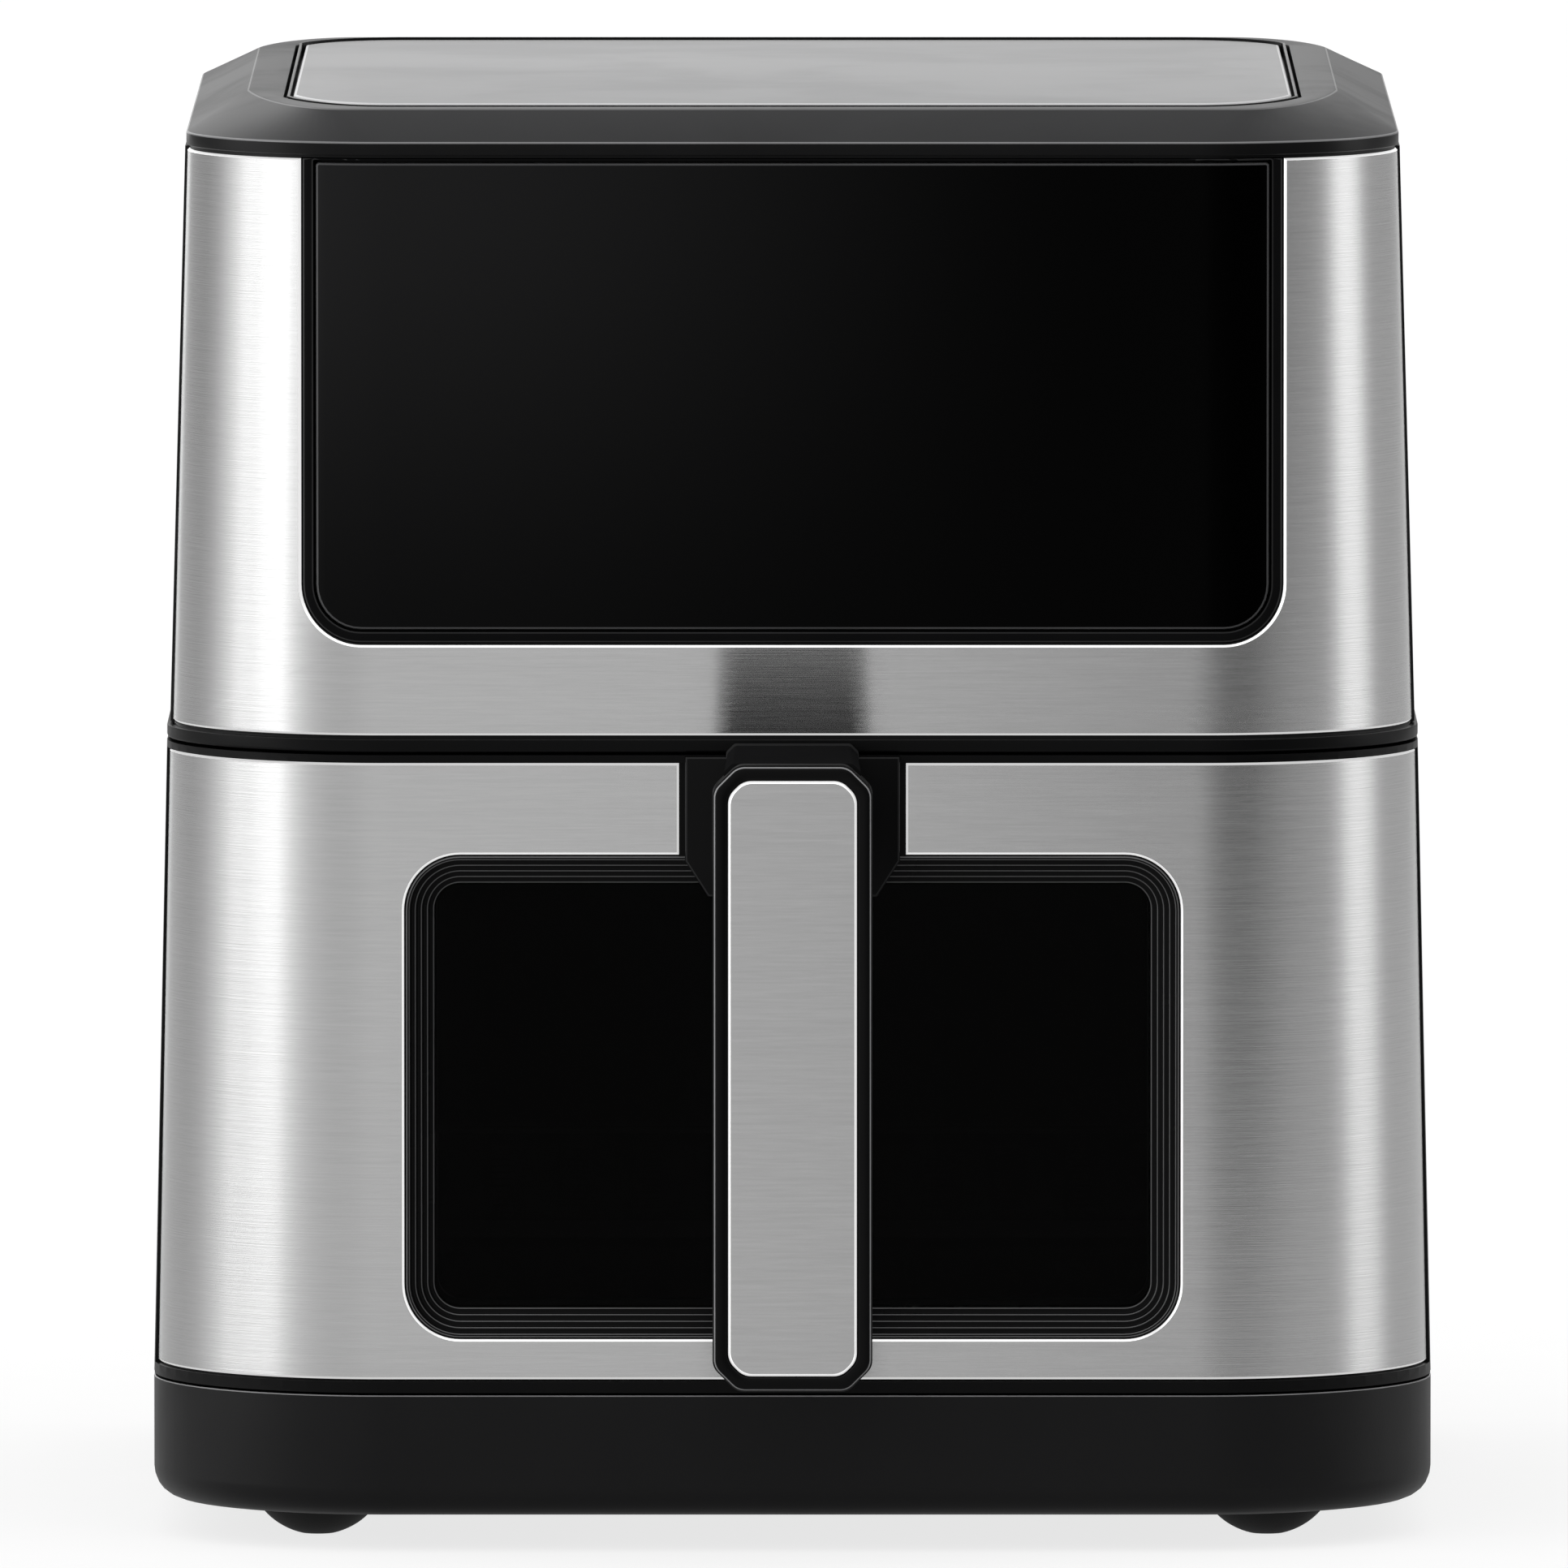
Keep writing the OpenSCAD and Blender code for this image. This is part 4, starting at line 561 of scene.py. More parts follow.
steel_finish = brushed("brushed_steel", (0.62, 0.62, 0.62), 0.24, across=3200, depth=0.035, spread=0.12,
                       crown=0.24, anisotropic=1.0, tip=0.29)
inlay_finish = brushed("brushed_inlay", (0.57, 0.57, 0.57), 0.25, across=2600, depth=0.03, spread=0.16,
                       crown=0.24, anisotropic=1.0)
# Cut steel edge: lighter than the sheet and glowing, a painted highlight line
cut_edge_painted_glow = brushed("cut_steel_edge_painted_glow", (0.9, 0.9, 0.9), 0.35, anisotropic=0.0, depth=0.001, glow=0.62)
satin_black = moulded("satin_black_moulding", (0.0085, 0.0085, 0.009), 0.4, specular=0.17)
gloss_black = moulded("gloss_black_moulding", (0.0035, 0.0035, 0.0037), 0.24, 900, 0.003, specular=0.09)
handle_black = moulded("handle_black_moulding", (0.0035, 0.0035, 0.0037), 0.36, 3200, 0.012, specular=0.1)
neck_black = moulded("neck_black_moulding", (0.008, 0.008, 0.0083), 0.6, 3200, 0.01, specular=0.0)
neck_grey = moulded("neck_moulding", (0.0125, 0.0125, 0.0129), 0.6, 3200, 0.01, specular=0.0)
# Dim black edge: lighter than the gloss black, a painted highlight line
dim_painted_highlight = painted_highlight_edging("soft_black_edge_painted_highlight", (0.022, 0.022, 0.0225), 0.4, specular=0.2)
# Light grey edge on black plastic: a painted highlight line
handle_painted_highlight = painted_highlight_edging("handle_edge_painted_highlight", (0.3, 0.3, 0.305))
rim_black = moulded("lid_rim_black", (0.006, 0.006, 0.0063), 0.3, 2500, 0.004, specular=0.12)
# Window step edge: lighter than the frame, a painted highlight line
step_painted_highlight = painted_highlight_edging("window_step_edge_painted_highlight", (0.11, 0.11, 0.112))
# Lighter black on the drawer frame's bevels: a painted highlight line
black_painted_highlight = painted_highlight_edging("black_edge_painted_highlight", (0.075, 0.075, 0.077))
lid_grey = moulded("lid_grey_paint", (0.007, 0.0073, 0.0085), 0.36, 4200, 0.006, specular=0.23)
# Lid rim's top edge: painted light as a highlight line
rim_painted_highlight = moulded("lid_rim_edge_painted_highlight", (0.2, 0.2, 0.205), 0.3, 4200, 0.003)
# Lid border's front edge: lighter than the lid paint, a painted highlight line
lid_painted_highlight = moulded("lid_grey_edge_painted_highlight", (0.06, 0.06, 0.062), 0.3, 4200, 0.003, specular=0.6)
top_grey = moulded("top_grey_paint", (0.285, 0.285, 0.29), 0.34, 5200, 0.004, 0.04)
# Top panel's rounded edge: near white, a painted highlight
top_painted_highlight = moulded("top_panel_edge_painted_highlight", (0.75, 0.75, 0.76), 0.3, 5200, 0.002, 0.04, 0.6)
black_glass = dark_glass("black_glass")
# Ground glass edge, painted lighter than the glass as a highlight line
glass_painted_highlight = painted_highlight_edging("ground_glass_edge_painted_highlight", (0.07, 0.07, 0.072), specular=0.3)
clear_glass = clear("tinted_window_glass", (0.3, 0.3, 0.305), 0.01, ior=1.1)
lamp_glass = clear("lamp_glass", (0.9, 0.89, 0.86), 0.03)
FINISHES = {
    "satin_black": satin_black,
    "gloss_black": gloss_black,
    "handle_black": handle_black,
    "brushed_steel": steel_finish,
    "lid_grey": lid_grey,
    "top_grey": top_grey,
    "black_glass": black_glass,
    "clear_glass": clear_glass,
    "lamp_glass": lamp_glass,
    "rubber": moulded("foot_rubber", (0.006, 0.006, 0.006), 0.62, 1800, 0.03, specular=0.3),
    "silicone": moulded("grey_silicone", (0.03, 0.03, 0.032), 0.55, 1500, 0.01, specular=0.35),
    "bright_steel": brushed("plated_steel", (0.66, 0.66, 0.67), 0.25, 300, 900, anisotropic=0.2),
    "galvanised": brushed("galvanised_sheet", (0.5, 0.51, 0.53), 0.42, 120, 160, spread=0.18,
                          anisotropic=0.1),
    "element_steel": brushed("darkened_tube", (0.2, 0.17, 0.15), 0.42, 200, 200, spread=0.3, anisotropic=0.0),
    "aluminium": brushed("stamped_aluminium", (0.72, 0.73, 0.74), 0.32, 120, 900, anisotropic=0.3),
    "nonstick": moulded("nonstick_coating", (0.018, 0.018, 0.019), 0.4, 2200, 0.01, 0.3),
    "blanket": moulded("ceramic_fibre", (0.72, 0.7, 0.65), 0.9, 700, 0.5, 0.12, 0.1),
    "circuit": moulded("circuit_green", (0.02, 0.15, 0.065), 0.35, 400, 0.05, 0.5),
    "pale_plastic": moulded("natural_plastic", (0.68, 0.67, 0.63), 0.45, spread=0.05),
    "dark_plastic": moulded("plain_black_plastic", (0.02, 0.02, 0.021), 0.5),
    "copper": brushed("enamelled_copper", (0.66, 0.33, 0.18), 0.3, 600, 600, spread=0.2, anisotropic=0.0),
}
DARKER = {"seam_ring": handle_black, "drawer_frame": handle_black}
# Bevels of these CAD nodes take a finish painted lighter than the node, as highlight lines
PAINTED_HIGHLIGHT_EDGES = {"base_tray": handle_painted_highlight, "drawer_frame": black_painted_highlight}
SLOT_OF = {row["node"]: row["material_slot"] for row in frame["record"]["subparts"]}


# ---------- Steel skins ----------

PANEL_R = 14
BEZEL_W = 2.7
BEZEL_GAP = 0.5
PANEL_HALF = bezel_high[0] + BEZEL_GAP
PANEL_Z0 = bezel_low[2] - BEZEL_GAP
WINDOW_GAP = 0.4
WINDOW_R = 13
WINDOW_HALF = window_high[0] + WINDOW_GAP
WINDOW_Z0 = window_low[2] - WINDOW_GAP
WINDOW_Z1 = window_high[2] + WINDOW_GAP
NOTCH_HALF = bracket_high[0] + 1.4
EDGE_PROFILE = [(LIP, 0), (0, LIP), (0, STEEL_T)]


def upper_steel_edges():
    """Edges of the upper sheet in the unrolled front: the panel's opening, and the sheet's own outline.
    Both run down the left side, along the bottom and up the right side, finer by the lower corners."""
    side, turn, bottom = 44, 17, 70
    half = turn // 2 + 1
    near, share = 8, 0.9
    x, z0, z1, r = PANEL_HALF, PANEL_Z0, steel_high[2], PANEL_R
    opening = joined(
        line([-x, z1], [-x, z0 + r], side), arc(-x + r, z0 + r, r, 180, 270, turn),
        line([-x + r, z0], [x - r, z0], bottom), arc(x - r, z0 + r, r, 270, 360, turn),
        line([x, z0 + r], [x, z1], side))
    low = steel_low[2]
    z = stepped((z1, low + near, side), (low + near, low, half), (low, low, half), (low, low, bottom),
                (low, low, half), (low, low + near, half), (low + near, z1, side))
    t = stepped((-1, -1, side), (-1, -1, half), (-1, -share, half), (-share, share, bottom),
                (share, 1, half), (1, 1, half), (1, 1, side))
    return flattened(opening), np.stack([t * sheet_end(z), z], -1)


def drawer_steel_edges():
    """Edges of the drawer's sheet in the unrolled front: the window's opening, and the sheet's own outline.
    Both run anticlockwise from the left of the handle's notch to its right, finer by the corners."""
    top, turn, side, bottom = 40, 17, 50, 80
    half = turn // 2 + 1
    near, share = 12, 0.88
    x, z0, z1, r, n = WINDOW_HALF, WINDOW_Z0, WINDOW_Z1, WINDOW_R, NOTCH_HALF
    opening = joined(
        line([-n, z1], [-x + r, z1], top), arc(-x + r, z1 - r, r, 90, 180, turn),
        line([-x, z1 - r], [-x, z0 + r], side), arc(-x + r, z0 + r, r, 180, 270, turn),
        line([-x + r, z0], [x - r, z0], bottom), arc(x - r, z0 + r, r, 270, 360, turn),
        line([x, z0 + r], [x, z1 - r], side), arc(x - r, z1 - r, r, 0, 90, turn),
        line([x - r, z1], [n, z1], top))
    low, high = sheet_low[2], sheet_high[2]
    first = n / sheet_end(high)

    def level(a, b, count, z):
        return np.stack([np.linspace(a, b, count) * sheet_end(z), np.full(count, z)], -1)

    def upright(sign, a, b, count):
        z = np.linspace(a, b, count)
        return np.stack([sign * sheet_end(z), z], -1)

    outer = joined(
        level(-first, -share, top, high), level(-share, -1, half, high),
        upright(-1, high, high - near, half), upright(-1, high - near, low + near, side),
        upright(-1, low + near, low, half), level(-1, -share, half, low),
        level(-share, share, bottom, low), level(share, 1, half, low),
        upright(1, low, low + near, half), upright(1, low + near, high - near, side),
        upright(1, high - near, high, half), level(1, share, half, high),
        level(share, first, top, high))
    return flattened(opening), outer


def steel_skin(name, edges, node, body):
    """Sheet between the edge of its opening and its own edge, with chamfered cut edges painted bright and
    glowing as a highlight.
    """
    inner, outer = edges
    layered(name, lambda inset: blend_grid(inner, outer, 34, inset), EDGE_PROFILE,
            lambda p, d: unrolled(p, STEEL_SET + d), body,
            [steel_finish, cut_edge_painted_glow], [node], edge_kind=1)


steel_skin("upper_skin", upper_steel_edges(), "upper_steel", "housing")
steel_skin("drawer_skin", drawer_steel_edges(), "drawer_steel", "drawer")


# ---------- Touch panel ----------

GLASS_HALF = glass_high[0]
GLASS_R = PANEL_R - BEZEL_W - 2 * BEZEL_GAP
TOUCH_T = 3.0


def touch_glass():
    """Dark glass that follows the front's rounded corners, with a ground edge that is also painted lighter as
    a highlight line.
    """
    layered("touch_glass_pane",
            lambda i: pane_grid(GLASS_HALF, glass_low[2], glass_high[2], GLASS_R, 0.8, i, columns=120),
            [(0.5, 0), (0.15, 0.12), (0, 0.5), (0, TOUCH_T)],
            lambda p, d: seen_from_front(p, STEEL_SET + d), "housing",
            [black_glass, glass_painted_highlight], ["touch_glass"], edge_kind=1)


def frame_outline(hw, z0, z1, r0, r1, inset, n=14, along=24):
    """Rounded rectangle in the front view, as a closed loop with its straight sides divided."""
    hw, z0, z1 = hw - inset, z0 + inset, z1 - inset
    r0, r1 = max(r0 - inset, 0.05), max(r1 - inset, 0.05)
    corners = [arc(hw - r1, z1 - r1, r1, 0, 90, n), arc(-hw + r1, z1 - r1, r1, 90, 180, n),
               arc(-hw + r0, z0 + r0, r0, 180, 270, n), arc(hw - r0, z0 + r0, r0, 270, 360, n)]
    runs = []
    for k, corner in enumerate(corners):
        runs.append(corner)
        runs.append(line(corner[-1], corners[(k + 1) % 4][0], along)[1:-1])
    return np.concatenate(runs)


def panel_bezel():
    """Frame around the glass: a closed profile with rounded edges, painted lighter as highlight lines,
    carried between two outlines.
    """
    corner = 0.3
    face, ledge, back, ledge_w = 0.3, 3.2, 8, 3

    def outer(inset, depth):
        plan = frame_outline(bezel_high[0], bezel_low[2], bezel_high[2], PANEL_R - BEZEL_GAP, corner, inset)
        return seen_from_front(plan, STEEL_SET + depth)

    def inner(inset, depth):
        plan = frame_outline(GLASS_HALF + BEZEL_GAP, glass_low[2] - BEZEL_GAP, glass_high[2] + BEZEL_GAP,
                             GLASS_R + BEZEL_GAP, corner, inset)
        return seen_from_front(plan, STEEL_SET + depth)

    loops = [
        outer(0, back), outer(0, face + 0.5), outer(0.18, face + 0.12), outer(0.5, face),
        inner(-0.5, face), inner(-0.18, face + 0.12), inner(0, face + 0.5),
        inner(0, ledge), inner(ledge_w, ledge), inner(ledge_w, back)]
    ring_piece("panel_frame", loops, "housing", [gloss_black, neck_black, dim_painted_highlight],
               ["panel_bezel"], kinds=[0, 0, 2, 1, 2, 0, 0, 0, 0, 0])


touch_glass()
panel_bezel()


# ---------- Window ----------

STEP_W = 1.4
STEP_D = 1.2
STEP_FRONT = 0.9
STEPS = 5
SIGHT_IN = STEPS * STEP_W
PANE_T = 3.0


def window_frame():
    """Stepped frame: treads whose rounded edges are painted lighter as highlight lines, carried around the
    window's rounded outline.
    """
    soft, foot, deep = 0.34, 0.5, 12.0
    profile = [(WINDOW_GAP, deep), (WINDOW_GAP, STEP_FRONT + soft), (WINDOW_GAP + soft, STEP_FRONT)]
    kinds = [0, 1, 0]
    for k in range(1, STEPS + 1):
        inset, depth = k * STEP_W, STEP_FRONT + (k - 1) * STEP_D
        profile += [(inset - soft, depth), (inset - 0.1, depth + 0.1), (inset, depth + soft),
                    (inset, depth + STEP_D - 0.12), (inset + 0.12, depth + STEP_D),
                    (inset + foot, depth + STEP_D)]
        kinds += [1, 0, 0, 0, 0, 0]
    # The last step has no tread below it: its riser goes straight to the back
    profile = profile[:-2] + [(SIGHT_IN - 0.02, deep)]
    kinds = kinds[:len(profile) - 1] + [0]
    loops = [
        seen_from_front(frame_outline(WINDOW_HALF, WINDOW_Z0, WINDOW_Z1, WINDOW_R, WINDOW_R, inset), depth)
        for inset, depth in profile]
    ring_piece("window_surround", loops, "drawer", [gloss_black, step_painted_highlight], ["window_frame"],
               kinds=kinds, sharp=50)


def window_pane():
    """Tinted pane behind the stepped frame."""
    low, high = box_mm("window_glass")
    depth = low[1] - FRONT
    r = WINDOW_R - SIGHT_IN + STEP_W
    layered("window_pane", lambda i: pane_grid(high[0], low[2], high[2], r, r, i, columns=12, rows=8),
            [(0.3, 0), (0, 0.3), (0, PANE_T)], lambda p, d: seen_from_front(p, depth + d), "drawer",
            [clear_glass], ["window_glass"])


window_frame()
window_pane()


# ---------- Handle ----------

GRIP_CUT = 5.6
GRIP_SOFT = 4
GRIP_BEVEL = 0.9
GRIP_T = 13
INLAY_BORDER = 3.6
REACH = FRONT - grip_low[1]
GRIP_TOP = door_high[2] + 1.2


def grip_outline(inset, n=9):
    """Outline of the grip in the front view: a rectangle with its corners cut and every bend softened."""
    w, h = grip_high[0] - inset, (GRIP_TOP - grip_low[2]) / 2 - inset
    c = GRIP_CUT - inset * (2 - math.sqrt(2))
    middle = (GRIP_TOP + grip_low[2]) / 2
    corners = [(w, h - c), (w - c, h), (-w + c, h), (-w, h - c),
               (-w, -h + c), (-w + c, -h), (w - c, -h), (w, -h + c)]
    return np.concatenate(soft_bends([(x, middle + z) for x, z in corners], GRIP_SOFT + inset / 6, n))



def handle_grip():
    """Upright grip: its outline carried through softened bevels to a face with a recess for the inlay. One
    bevel band is painted light grey as a highlight line.
    """
    back = REACH - GRIP_T
    levels = [(back, 2.2), (back + 0.25, 1.2), (back + 1.0, 0.35), (back + 2.0, 0),
              (REACH - GRIP_BEVEL - 0.15, 0), (REACH - GRIP_BEVEL + 0.08, 0.06), (REACH - 0.5, 0.34),
              (REACH - 0.24, 0.62), (REACH - 0.08, GRIP_BEVEL), (REACH, GRIP_BEVEL + 0.3),
              (REACH, INLAY_BORDER - 0.6), (REACH - 0.15, INLAY_BORDER - 0.4),
              (REACH - 1.5, INLAY_BORDER - 0.4)]
    # Kind 1 is the outer bevel band, painted light as a highlight
    loft("grip", *stack(grip_outline, levels), "drawer", "handle_black", [handle_black, handle_painted_highlight],
         ["handle_grip"], to_world=forward, kinds=[0, 0, 0, 0, 0, 0, 1, 0, 0, 0, 0, 0], sharp=40)


def handle_inlay():
    """Steel inlay with a chamfered edge painted bright and glowing as a highlight, set a little into the
    recess of the grip.
    """
    face = REACH - 0.2
    lip = 0.55
    levels = [(REACH - 1.4, INLAY_BORDER), (face - lip * 0.7, INLAY_BORDER), (face, INLAY_BORDER + lip)]
    loft("grip_inlay", *stack(grip_outline, levels), "drawer", "brushed_steel", [inlay_finish, cut_edge_painted_glow],
         ["handle_inlay"], to_world=forward, kinds=[1, 1], sharp=20)


NECK_W = 30.6
NECK_WIDER = 1
NECK_H = 18
NECK_CUT = 1.9
NECK_SOFT = 1.2
NECK_LIP = 0.35


def neck_outline(w, z1, inset, n=5):
    """Outline of the neck in the front view: cut and softened at its upper corners, square below."""
    w, z1 = w / 2 - inset, z1 - inset
    c = NECK_CUT
    runs = soft_bends([(w, z1 - c), (w - c, z1), (-w + c, z1), (-w, z1 - c)], NECK_SOFT, n)
    low = z1 + inset - NECK_H + inset
    runs.append(np.array([[-w, low], [w, low]]))
    return np.concatenate(runs)


def handle_neck():
    """Neck from the bracket to the grip: a little wider in front, with a narrow raised lip at the bracket,
    whose step is painted lighter as a highlight line.
    """
    top = grip_high[2] + 0.05
    start, lip_end = 1.5, 2.0
    levels = [(start, NECK_W, top + NECK_LIP, 0), (lip_end, NECK_W, top + NECK_LIP, 0),
              (lip_end + 0.1, NECK_W, top, NECK_LIP / 2),
              (REACH - GRIP_T / 2, NECK_W + NECK_WIDER, GRIP_TOP, 0)]
    loft("grip_neck", *stack(neck_outline, levels), "drawer", "handle_black", [neck_grey, dim_painted_highlight],
         to_world=forward, kinds=[0, 1, 0], sharp=35)


def handle_bracket():
    """Block behind the neck, with its lower corners cut away and a softened front edge painted lighter as a
    highlight line.
    """
    w, z1, z0 = bracket_high[0], bracket_high[2], bracket_low[2]
    cut_h, cut_w = 8.3, 5.3
    back, proud = -0.8, 1.5
    points = np.array([[w, z0 + cut_h], [w, z1], [-w, z1],
                       [-w, z0 + cut_h], [-w + cut_w, z0], [w - cut_w, z0]])
    levels = [(back, 0), (proud - 0.5, 0), (proud - 0.15, 0.15), (proud, 0.5)]
    loft("grip_bracket", *stack(lambda inset: loop_offset(points, -inset), levels), "drawer", "handle_black",
         [handle_black, dim_painted_highlight], ["handle_bracket"], to_world=forward, kinds=[0, 0, 1])


handle_grip()
handle_inlay()
handle_neck()
handle_bracket()


# ---------- Lid ----------

SLOPE_W = 14
BORDER_W = 8.4
GROOVE_W = 2.3
RECESS_D = 3
RIM_TOP = 3
LID_Z0 = Z_LID + SHADOW_W
LID_Z1 = LID_Z0 + RIM_TOP
BORDER_IN = LID_IN + SLOPE_W
RECESS_IN = BORDER_IN + BORDER_W
PANEL_IN = RECESS_IN + GROOVE_W
LID_HALF = lid_high[0] + LID_IN
BORDER_BENDS = (23, 74, 40, 22)
RECESS_BENDS = (25, 38, 24, 22)
STRIP_FRONT = 0.22
STRIP_BACK = 0.55
PANEL_FALL = 0.65


def bend(wide, deep, start, n=24):
    """Corner from its side to its end: a quarter ellipse that leaves the side at a slight angle, after start
    degrees. A last straight step before the corner keeps the side flat up to it."""
    t = np.radians(np.linspace(start, 90, n))
    across = np.cos(t) / math.cos(t[0])
    along = (np.sin(t) - math.sin(t[0])) / (1 - math.sin(t[0]))
    return np.concatenate([[[wide, -1.5]], np.stack([wide * across, deep * along], -1)])


def lid_outline(inset, bends):
    """Plan of the lid moved inwards by inset. Its corners are wide in x, and front or back deep in y."""
    wide, front, back, start = bends
    hw, y0, y1 = LID_HALF - inset, FRONT + STEP + inset, BACK - STEP - inset
    far = bend(wide, back, start) + [hw - wide, 0] + [0, y1 - back]
    near = bend(wide, front, start) * [1, -1] + [hw - wide, 0] + [0, y0 + front]
    mirror = np.array([-1, 1])
    return np.concatenate([far, far[::-1] * mirror, near * mirror, near[::-1]])


def rim(inset):
    """Rim's round corners at an inset."""
    r = LID_HALF - FLAT - inset
    return r, r, r, 0


def moved(bends, by):
    """Corner sizes of an outline moved inwards by a distance."""
    wide, front, back, start = bends
    return wide - by, front - by, back - by, start


def lid_cover():
    """Lid: an upright rim, a sloping edge that tightens the corners, a flat border and a recess. Two narrow
    edges are painted light as highlight lines.
    """
    soft = 0.5
    rise = (Z_TOP - LID_Z1) / SLOPE_W
    levels = [
        (Z_LID, SHADOW_D, rim(SHADOW_D)),
        (LID_Z0, SHADOW_D, rim(SHADOW_D)),
        (LID_Z0, LID_IN + 0.2, rim(LID_IN + 0.2)),
        (LID_Z0 + 0.2, LID_IN, rim(LID_IN)),
        (LID_Z1 - 0.3, LID_IN, rim(LID_IN)),
        (LID_Z1 - 0.06, LID_IN + 0.08, rim(LID_IN + 0.08)),
        (LID_Z1 + 0.14, LID_IN + 0.4, rim(LID_IN + 0.4)),
        (Z_TOP - soft * rise, BORDER_IN - soft, moved(BORDER_BENDS, -soft)),
        (Z_TOP - 0.06, BORDER_IN - 0.1, moved(BORDER_BENDS, -0.1)),
        (Z_TOP, BORDER_IN + soft, moved(BORDER_BENDS, soft)),
        (Z_TOP, RECESS_IN - 0.35, moved(RECESS_BENDS, -0.35)),
        (Z_TOP - 0.1, RECESS_IN - 0.1, moved(RECESS_BENDS, -0.1)),
        (Z_TOP - 0.35, RECESS_IN, RECESS_BENDS),
        (Z_TOP - RECESS_D, RECESS_IN, RECESS_BENDS)]
    # Kind 3 on the rim's top edge and kind 1 on the border's front edge are painted highlight lines
    loft("lid_moulding", *stack(lid_outline, levels), "housing", "lid_grey",
         [lid_grey, lid_painted_highlight, rim_black, rim_painted_highlight], ["lid_cover"],
         kinds=[2, 2, 2, 2, 3, 3, 0, 1, 0, 0, 0, 0, 2], sharp=24)


def top_panel():
    """Flat panel in the lid's recess, with a rounded edge painted bright as a highlight. It lies a little
    lower towards the back.
    """
    top = panel_high[2]
    length = BACK - FRONT - 2 * (STEP + PANEL_IN)

    def tipped(points):
        fall = np.clip((points[:, 1] - FRONT - STEP - PANEL_IN) / length, 0, 1) * PANEL_FALL
        return points - np.stack([0 * fall, 0 * fall, np.where(points[:, 2] > Z_TOP - 1, fall, 0)], -1)

    def plan(inset):
        return lid_outline(PANEL_IN + inset, moved(RECESS_BENDS, GROOVE_W + inset))

    levels = [(Z_TOP - RECESS_D, 0), (top - 0.75, 0), (top - 0.35, 0.06), (top - 0.1, 0.25), (top, 0.7)]
    loft("lid_panel", *stack(plan, levels), "housing", "top_grey", [top_grey, top_painted_highlight], ["top_panel"],
         to_world=tipped, kinds=[0, 1, 1, 1], sharp=60)


def trim_strip():
    """Thin upright strip in the groove: a closed profile around the lid, which rises to the back."""
    low, high = box_mm("top_trim_ring")
    i0 = LID_HALF - high[0]
    t = 0.6
    profile = [(i0, 0), (i0, 0.96), (i0 + 0.15, 1), (i0 + t - 0.15, 1), (i0 + t, 0.96), (i0 + t, 0)]
    loops = []
    for i, up in profile:
        plan = lid_outline(i, moved(RECESS_BENDS, i - RECESS_IN))
        top = Z_TOP + np.interp(plan[:, 1], [FRONT + i, BACK - i], [STRIP_FRONT, STRIP_BACK])
        loops.append(np.stack([plan[:, 0], plan[:, 1], low[2] + (top - low[2]) * up], -1))
    ring_piece("lid_strip", loops, "housing", [gloss_black], ["top_trim_ring"])


lid_cover()
top_panel()
trim_strip()


# ---------- Feet ----------

def rubber_feet():
    """Four bowl-shaped feet: a profile turned about each foot's axis, with a flat tread."""
    low, high = box_mm("rubber_feet")
    half, r, h = 12.4, 14.6, Z_BASE
    t = np.radians(np.linspace(14, 62, 13))
    rise = (math.cos(t[0]) - np.cos(t)) / (math.cos(t[0]) - np.cos(t[-1]))
    side = np.stack([r * np.sin(t) / np.sin(t[-1]), h * rise], -1)
    profile = np.concatenate([[[0, 0]], side, [[r, h + 0.02], [4.6, h + 0.05], [4.6, h + 5], [0, h + 5]]])
    a = np.linspace(0, 2 * math.pi, 48, endpoint=False)
    points, faces = [], []
    for x in (low[0] + half, high[0] - half):
        for y in (low[1] + half, high[1] - half):
            ring = np.stack([x + profile[:, :1] * np.cos(a), y + profile[:, :1] * np.sin(a),
                             np.broadcast_to(profile[:, 1:], (len(profile), len(a)))], -1)
            faces.append(grid_faces(*ring.shape[:2], closed=True) + sum(map(len, points)))
            points.append(ring.reshape(-1, 3))
    obj = new_piece("feet", np.concatenate(points), np.concatenate(faces).tolist())
    finish_piece(obj, "housing", [FINISHES["rubber"]], ["rubber_feet"], sharp=50)


rubber_feet()


# ---------- The frame's own pieces ----------

def dress(node, obj):
    """Gives a CAD node its finish, softened edges and smooth round faces."""
    mesh = obj.data
    if "custom_normal" in mesh.attributes:
        mesh.attributes.remove(mesh.attributes["custom_normal"])
    mesh.polygons.foreach_set("use_smooth", np.ones(len(mesh.polygons), bool))
    mesh.materials.clear()
    mesh.materials.append(DARKER.get(node, FINISHES[SLOT_OF[node]]))
    weld = obj.modifiers.new("weld", "WELD")
    weld.merge_threshold = 1e-6
    bevel = obj.modifiers.new("soft_edges", "BEVEL")
    bevel.width = 0.25 * MM
    bevel.segments = 2
    bevel.limit_method = "ANGLE"
    bevel.angle_limit = math.radians(32)
    bevel.miter_outer = "MITER_ARC"
    # Painted highlight: the bevel faces take a lighter finish
    if node in PAINTED_HIGHLIGHT_EDGES:
        mesh.materials.append(PAINTED_HIGHLIGHT_EDGES[node])
        bevel.material = 1
    normal = obj.modifiers.new("even_shading", "WEIGHTED_NORMAL")
    normal.keep_sharp = True


for node, obj in sorted(frame["nodes"].items()):
    if not obj.hide_render:
        dress(node, obj)


# ---------- Studio ----------

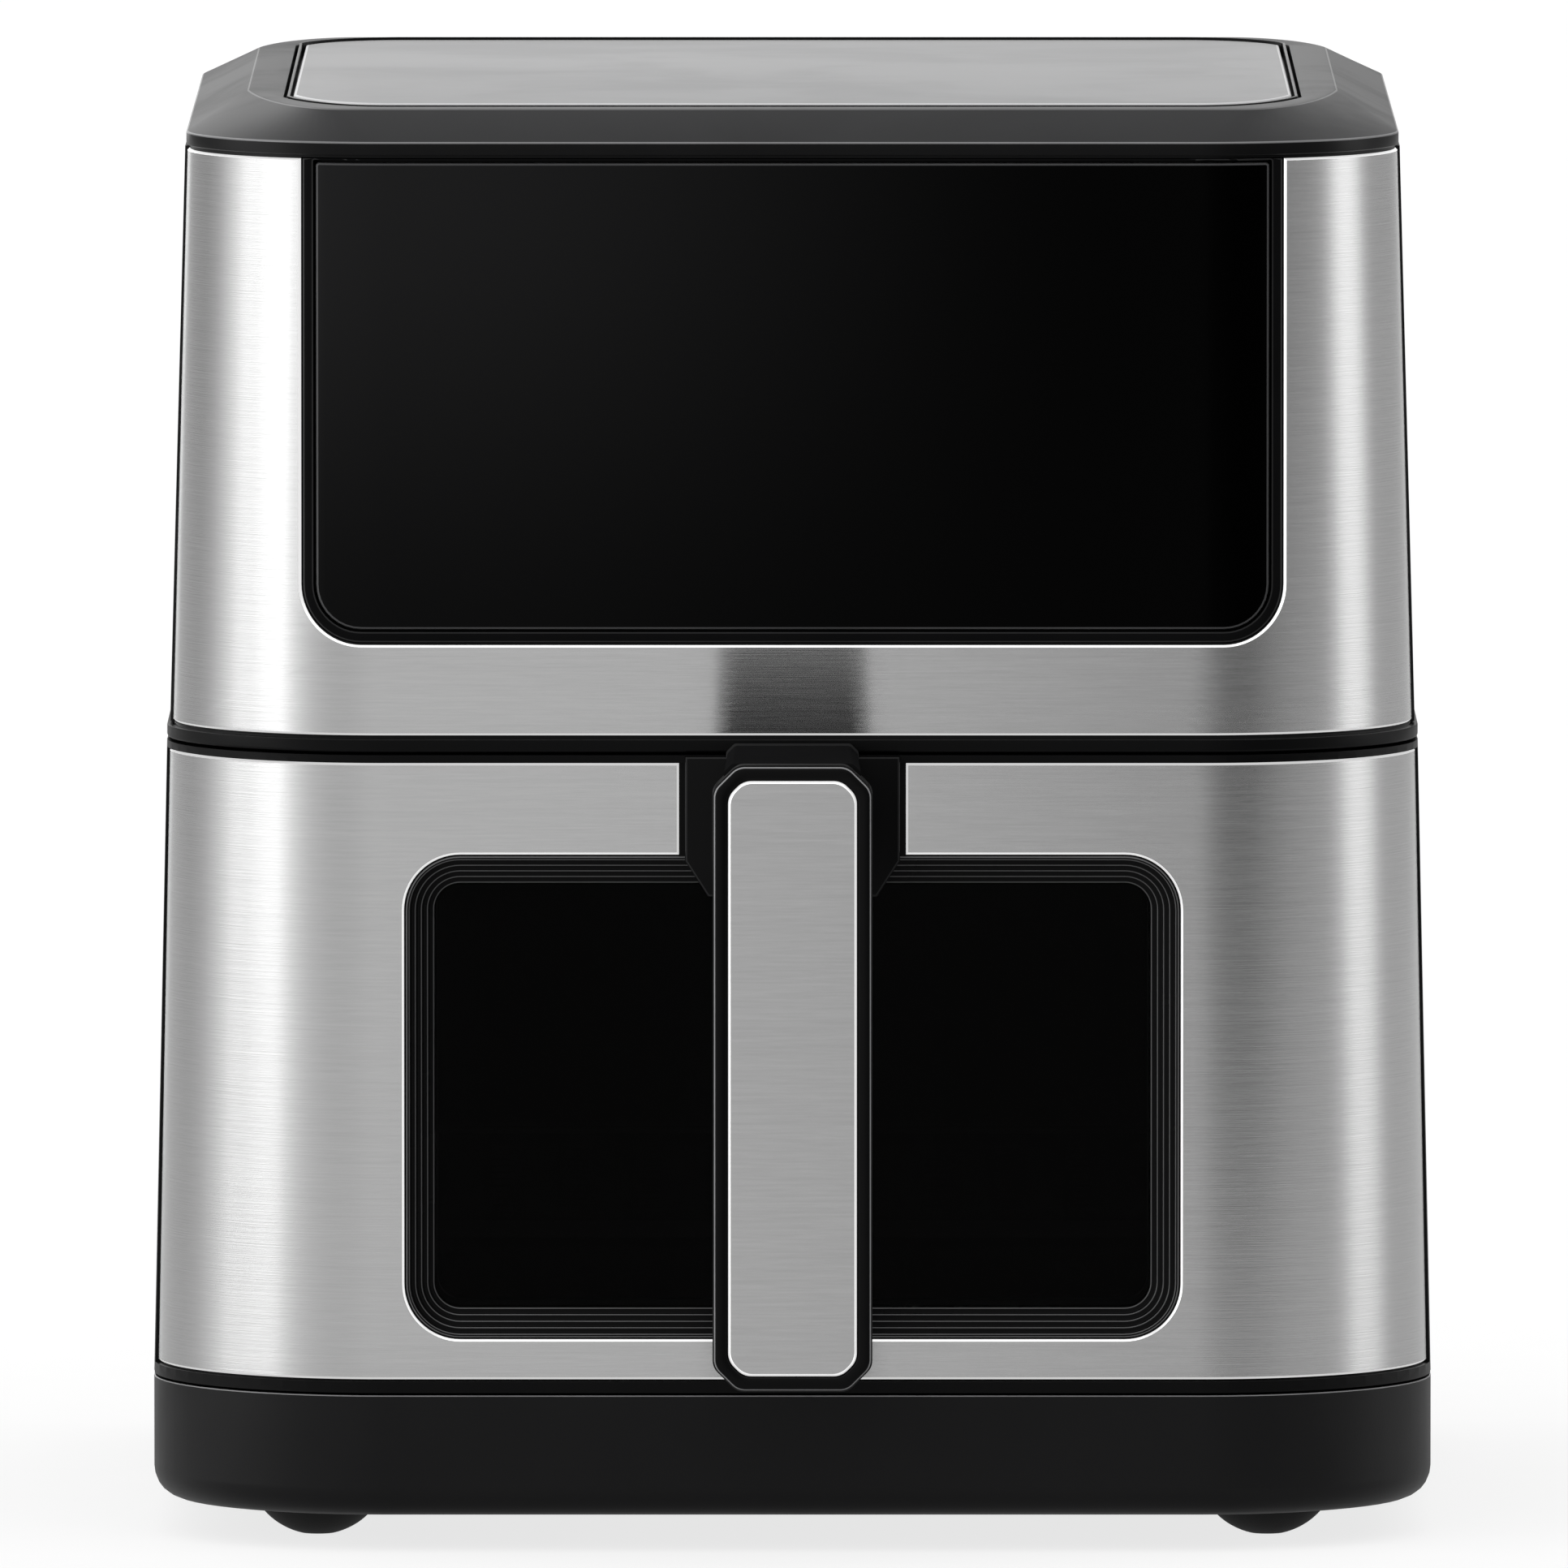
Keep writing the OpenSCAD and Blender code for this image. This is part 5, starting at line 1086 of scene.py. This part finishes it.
def azimuth_ramp(tree, direction, stops):
    """Brightness around the horizon, from stops of (degrees to the right, brightness), and the height."""
    split = add(tree, "ShaderNodeSeparateXYZ", {"Vector": direction})
    turn = maths(tree, "ARCTAN2", split.outputs["X"], maths(tree, "MULTIPLY", split.outputs["Y"], -1.0))
    share = add(tree, "ShaderNodeMapRange", {"Value": turn, "From Min": -math.pi, "From Max": math.pi})
    curve = tree.nodes.new("ShaderNodeFloatCurve")
    tree.links.new(share.outputs["Result"], curve.inputs["Value"])
    points = curve.mapping.curves[0].points
    curve.mapping.clip_max_y = 2.5
    places = [((d + 180) / 360, v) for d, v in stops]
    points[0].location, points[1].location = places[0], places[-1]
    for place in places[1:-1]:
        points.new(*place)
    curve.mapping.update()
    return curve.outputs["Value"], split.outputs["Z"]


STUDIO = [
    (-180, 1.0), (-171, 1.0), (-165, 1.8), (-160, 1.0), (-152, 0.3), (-133, 0.26), (-124, 0.36), (-109, 0.95),
    (-98, 1.7), (-87, 2.3), (-72, 2.35), (-60, 1.6), (-50, 0.95), (-40, 0.68), (-30, 0.6), (-6, 0.68),
    (6, 0.34), (12, 0.22), (24, 0.1), (32, 0.1), (39, 0.14), (56, 0.26), (75, 0.33), (82, 0.55), (89, 1.3),
    (98, 1.9), (107, 1.5), (113, 0.85), (124, 0.4), (140, 0.33), (153, 0.3), (165, 0.6), (180, 1.0)]
CEILING = 0.95
FLOOR_SEEN = 0.78
FLOOR_MIRRORED = 0.4
LENS = 797.0
SHIFT = -0.0054
AWAY = 8.0
EYE = 0.818
TILT = 4.57


def studio_world():
    """Soft studio: a brightness for each way around, a bright ceiling, and white for the camera."""
    world = bpy.data.worlds.new("studio")
    bpy.context.scene.world = world
    world.use_nodes = True
    tree = world.node_tree
    background = next(n for n in tree.nodes if n.type == "BACKGROUND")
    direction = tree.nodes.new("ShaderNodeTexCoord").outputs["Generated"]
    around, up = azimuth_ramp(tree, direction, STUDIO)
    level = add(tree, "ShaderNodeMix", {"Factor": smooth(tree, up, 0.25, 0.8), "A": around, "B": CEILING})
    seen = tree.nodes.new("ShaderNodeLightPath").outputs["Is Camera Ray"]
    final = add(tree, "ShaderNodeMix", {"Factor": seen, "A": level.outputs["Result"], "B": 1.0})
    tree.links.new(final.outputs["Result"], background.inputs["Color"])


def floor():
    """Matt floor, lifted to white where it is seen and by less where metal mirrors it. The shadow stays."""
    x, y0, y1 = 3.0, FRONT * MM - 0.35, 9.0
    mesh = bpy.data.meshes.new("floor")
    mesh.from_pydata([(-x, y0, 0), (x, y0, 0), (x, y1, 0), (-x, y1, 0)], [], [(0, 1, 2, 3)])
    obj = bpy.data.objects.new("floor", mesh)
    bpy.context.scene.collection.objects.link(obj)
    material, tree, shader, place = new_material("pale_floor")
    speckle = use_group(tree, GRAIN, place, Scale=60.0)
    tint(tree, speckle.outputs["Tone"], (0.25, 0.25, 0.25), (0.27, 0.27, 0.27), shader.inputs["Base Color"])
    shader.inputs["Roughness"].default_value = 0.9
    shader.inputs["Specular IOR Level"].default_value = 0.0
    path = tree.nodes.new("ShaderNodeLightPath")
    seen = maths(tree, "MAXIMUM", path.outputs["Is Camera Ray"], path.outputs["Is Transmission Ray"])
    lift = maths(tree, "MAXIMUM", maths(tree, "MULTIPLY", seen, FLOOR_SEEN),
                 maths(tree, "MULTIPLY", path.outputs["Is Glossy Ray"], FLOOR_MIRRORED))
    shader.inputs["Emission Color"].default_value = (1, 1, 1, 1)
    tree.links.new(lift, shader.inputs["Emission Strength"])
    mesh.materials.append(material)


def camera():
    """Long lens in front of the object and a little above it."""
    data = bpy.data.cameras.new("camera")
    data.sensor_width = 36.0
    data.lens = LENS
    data.shift_x = SHIFT
    data.clip_start = 0.1
    data.clip_end = 60.0
    obj = bpy.data.objects.new("camera", data)
    bpy.context.scene.collection.objects.link(obj)
    obj.location = (0.0, FRONT * MM - AWAY, EYE)
    obj.rotation_euler = (math.pi / 2 - math.radians(TILT), 0, 0)
    bpy.context.scene.camera = obj


studio_world()
floor()
camera()
bpy.context.scene.view_settings.view_transform = "Standard"
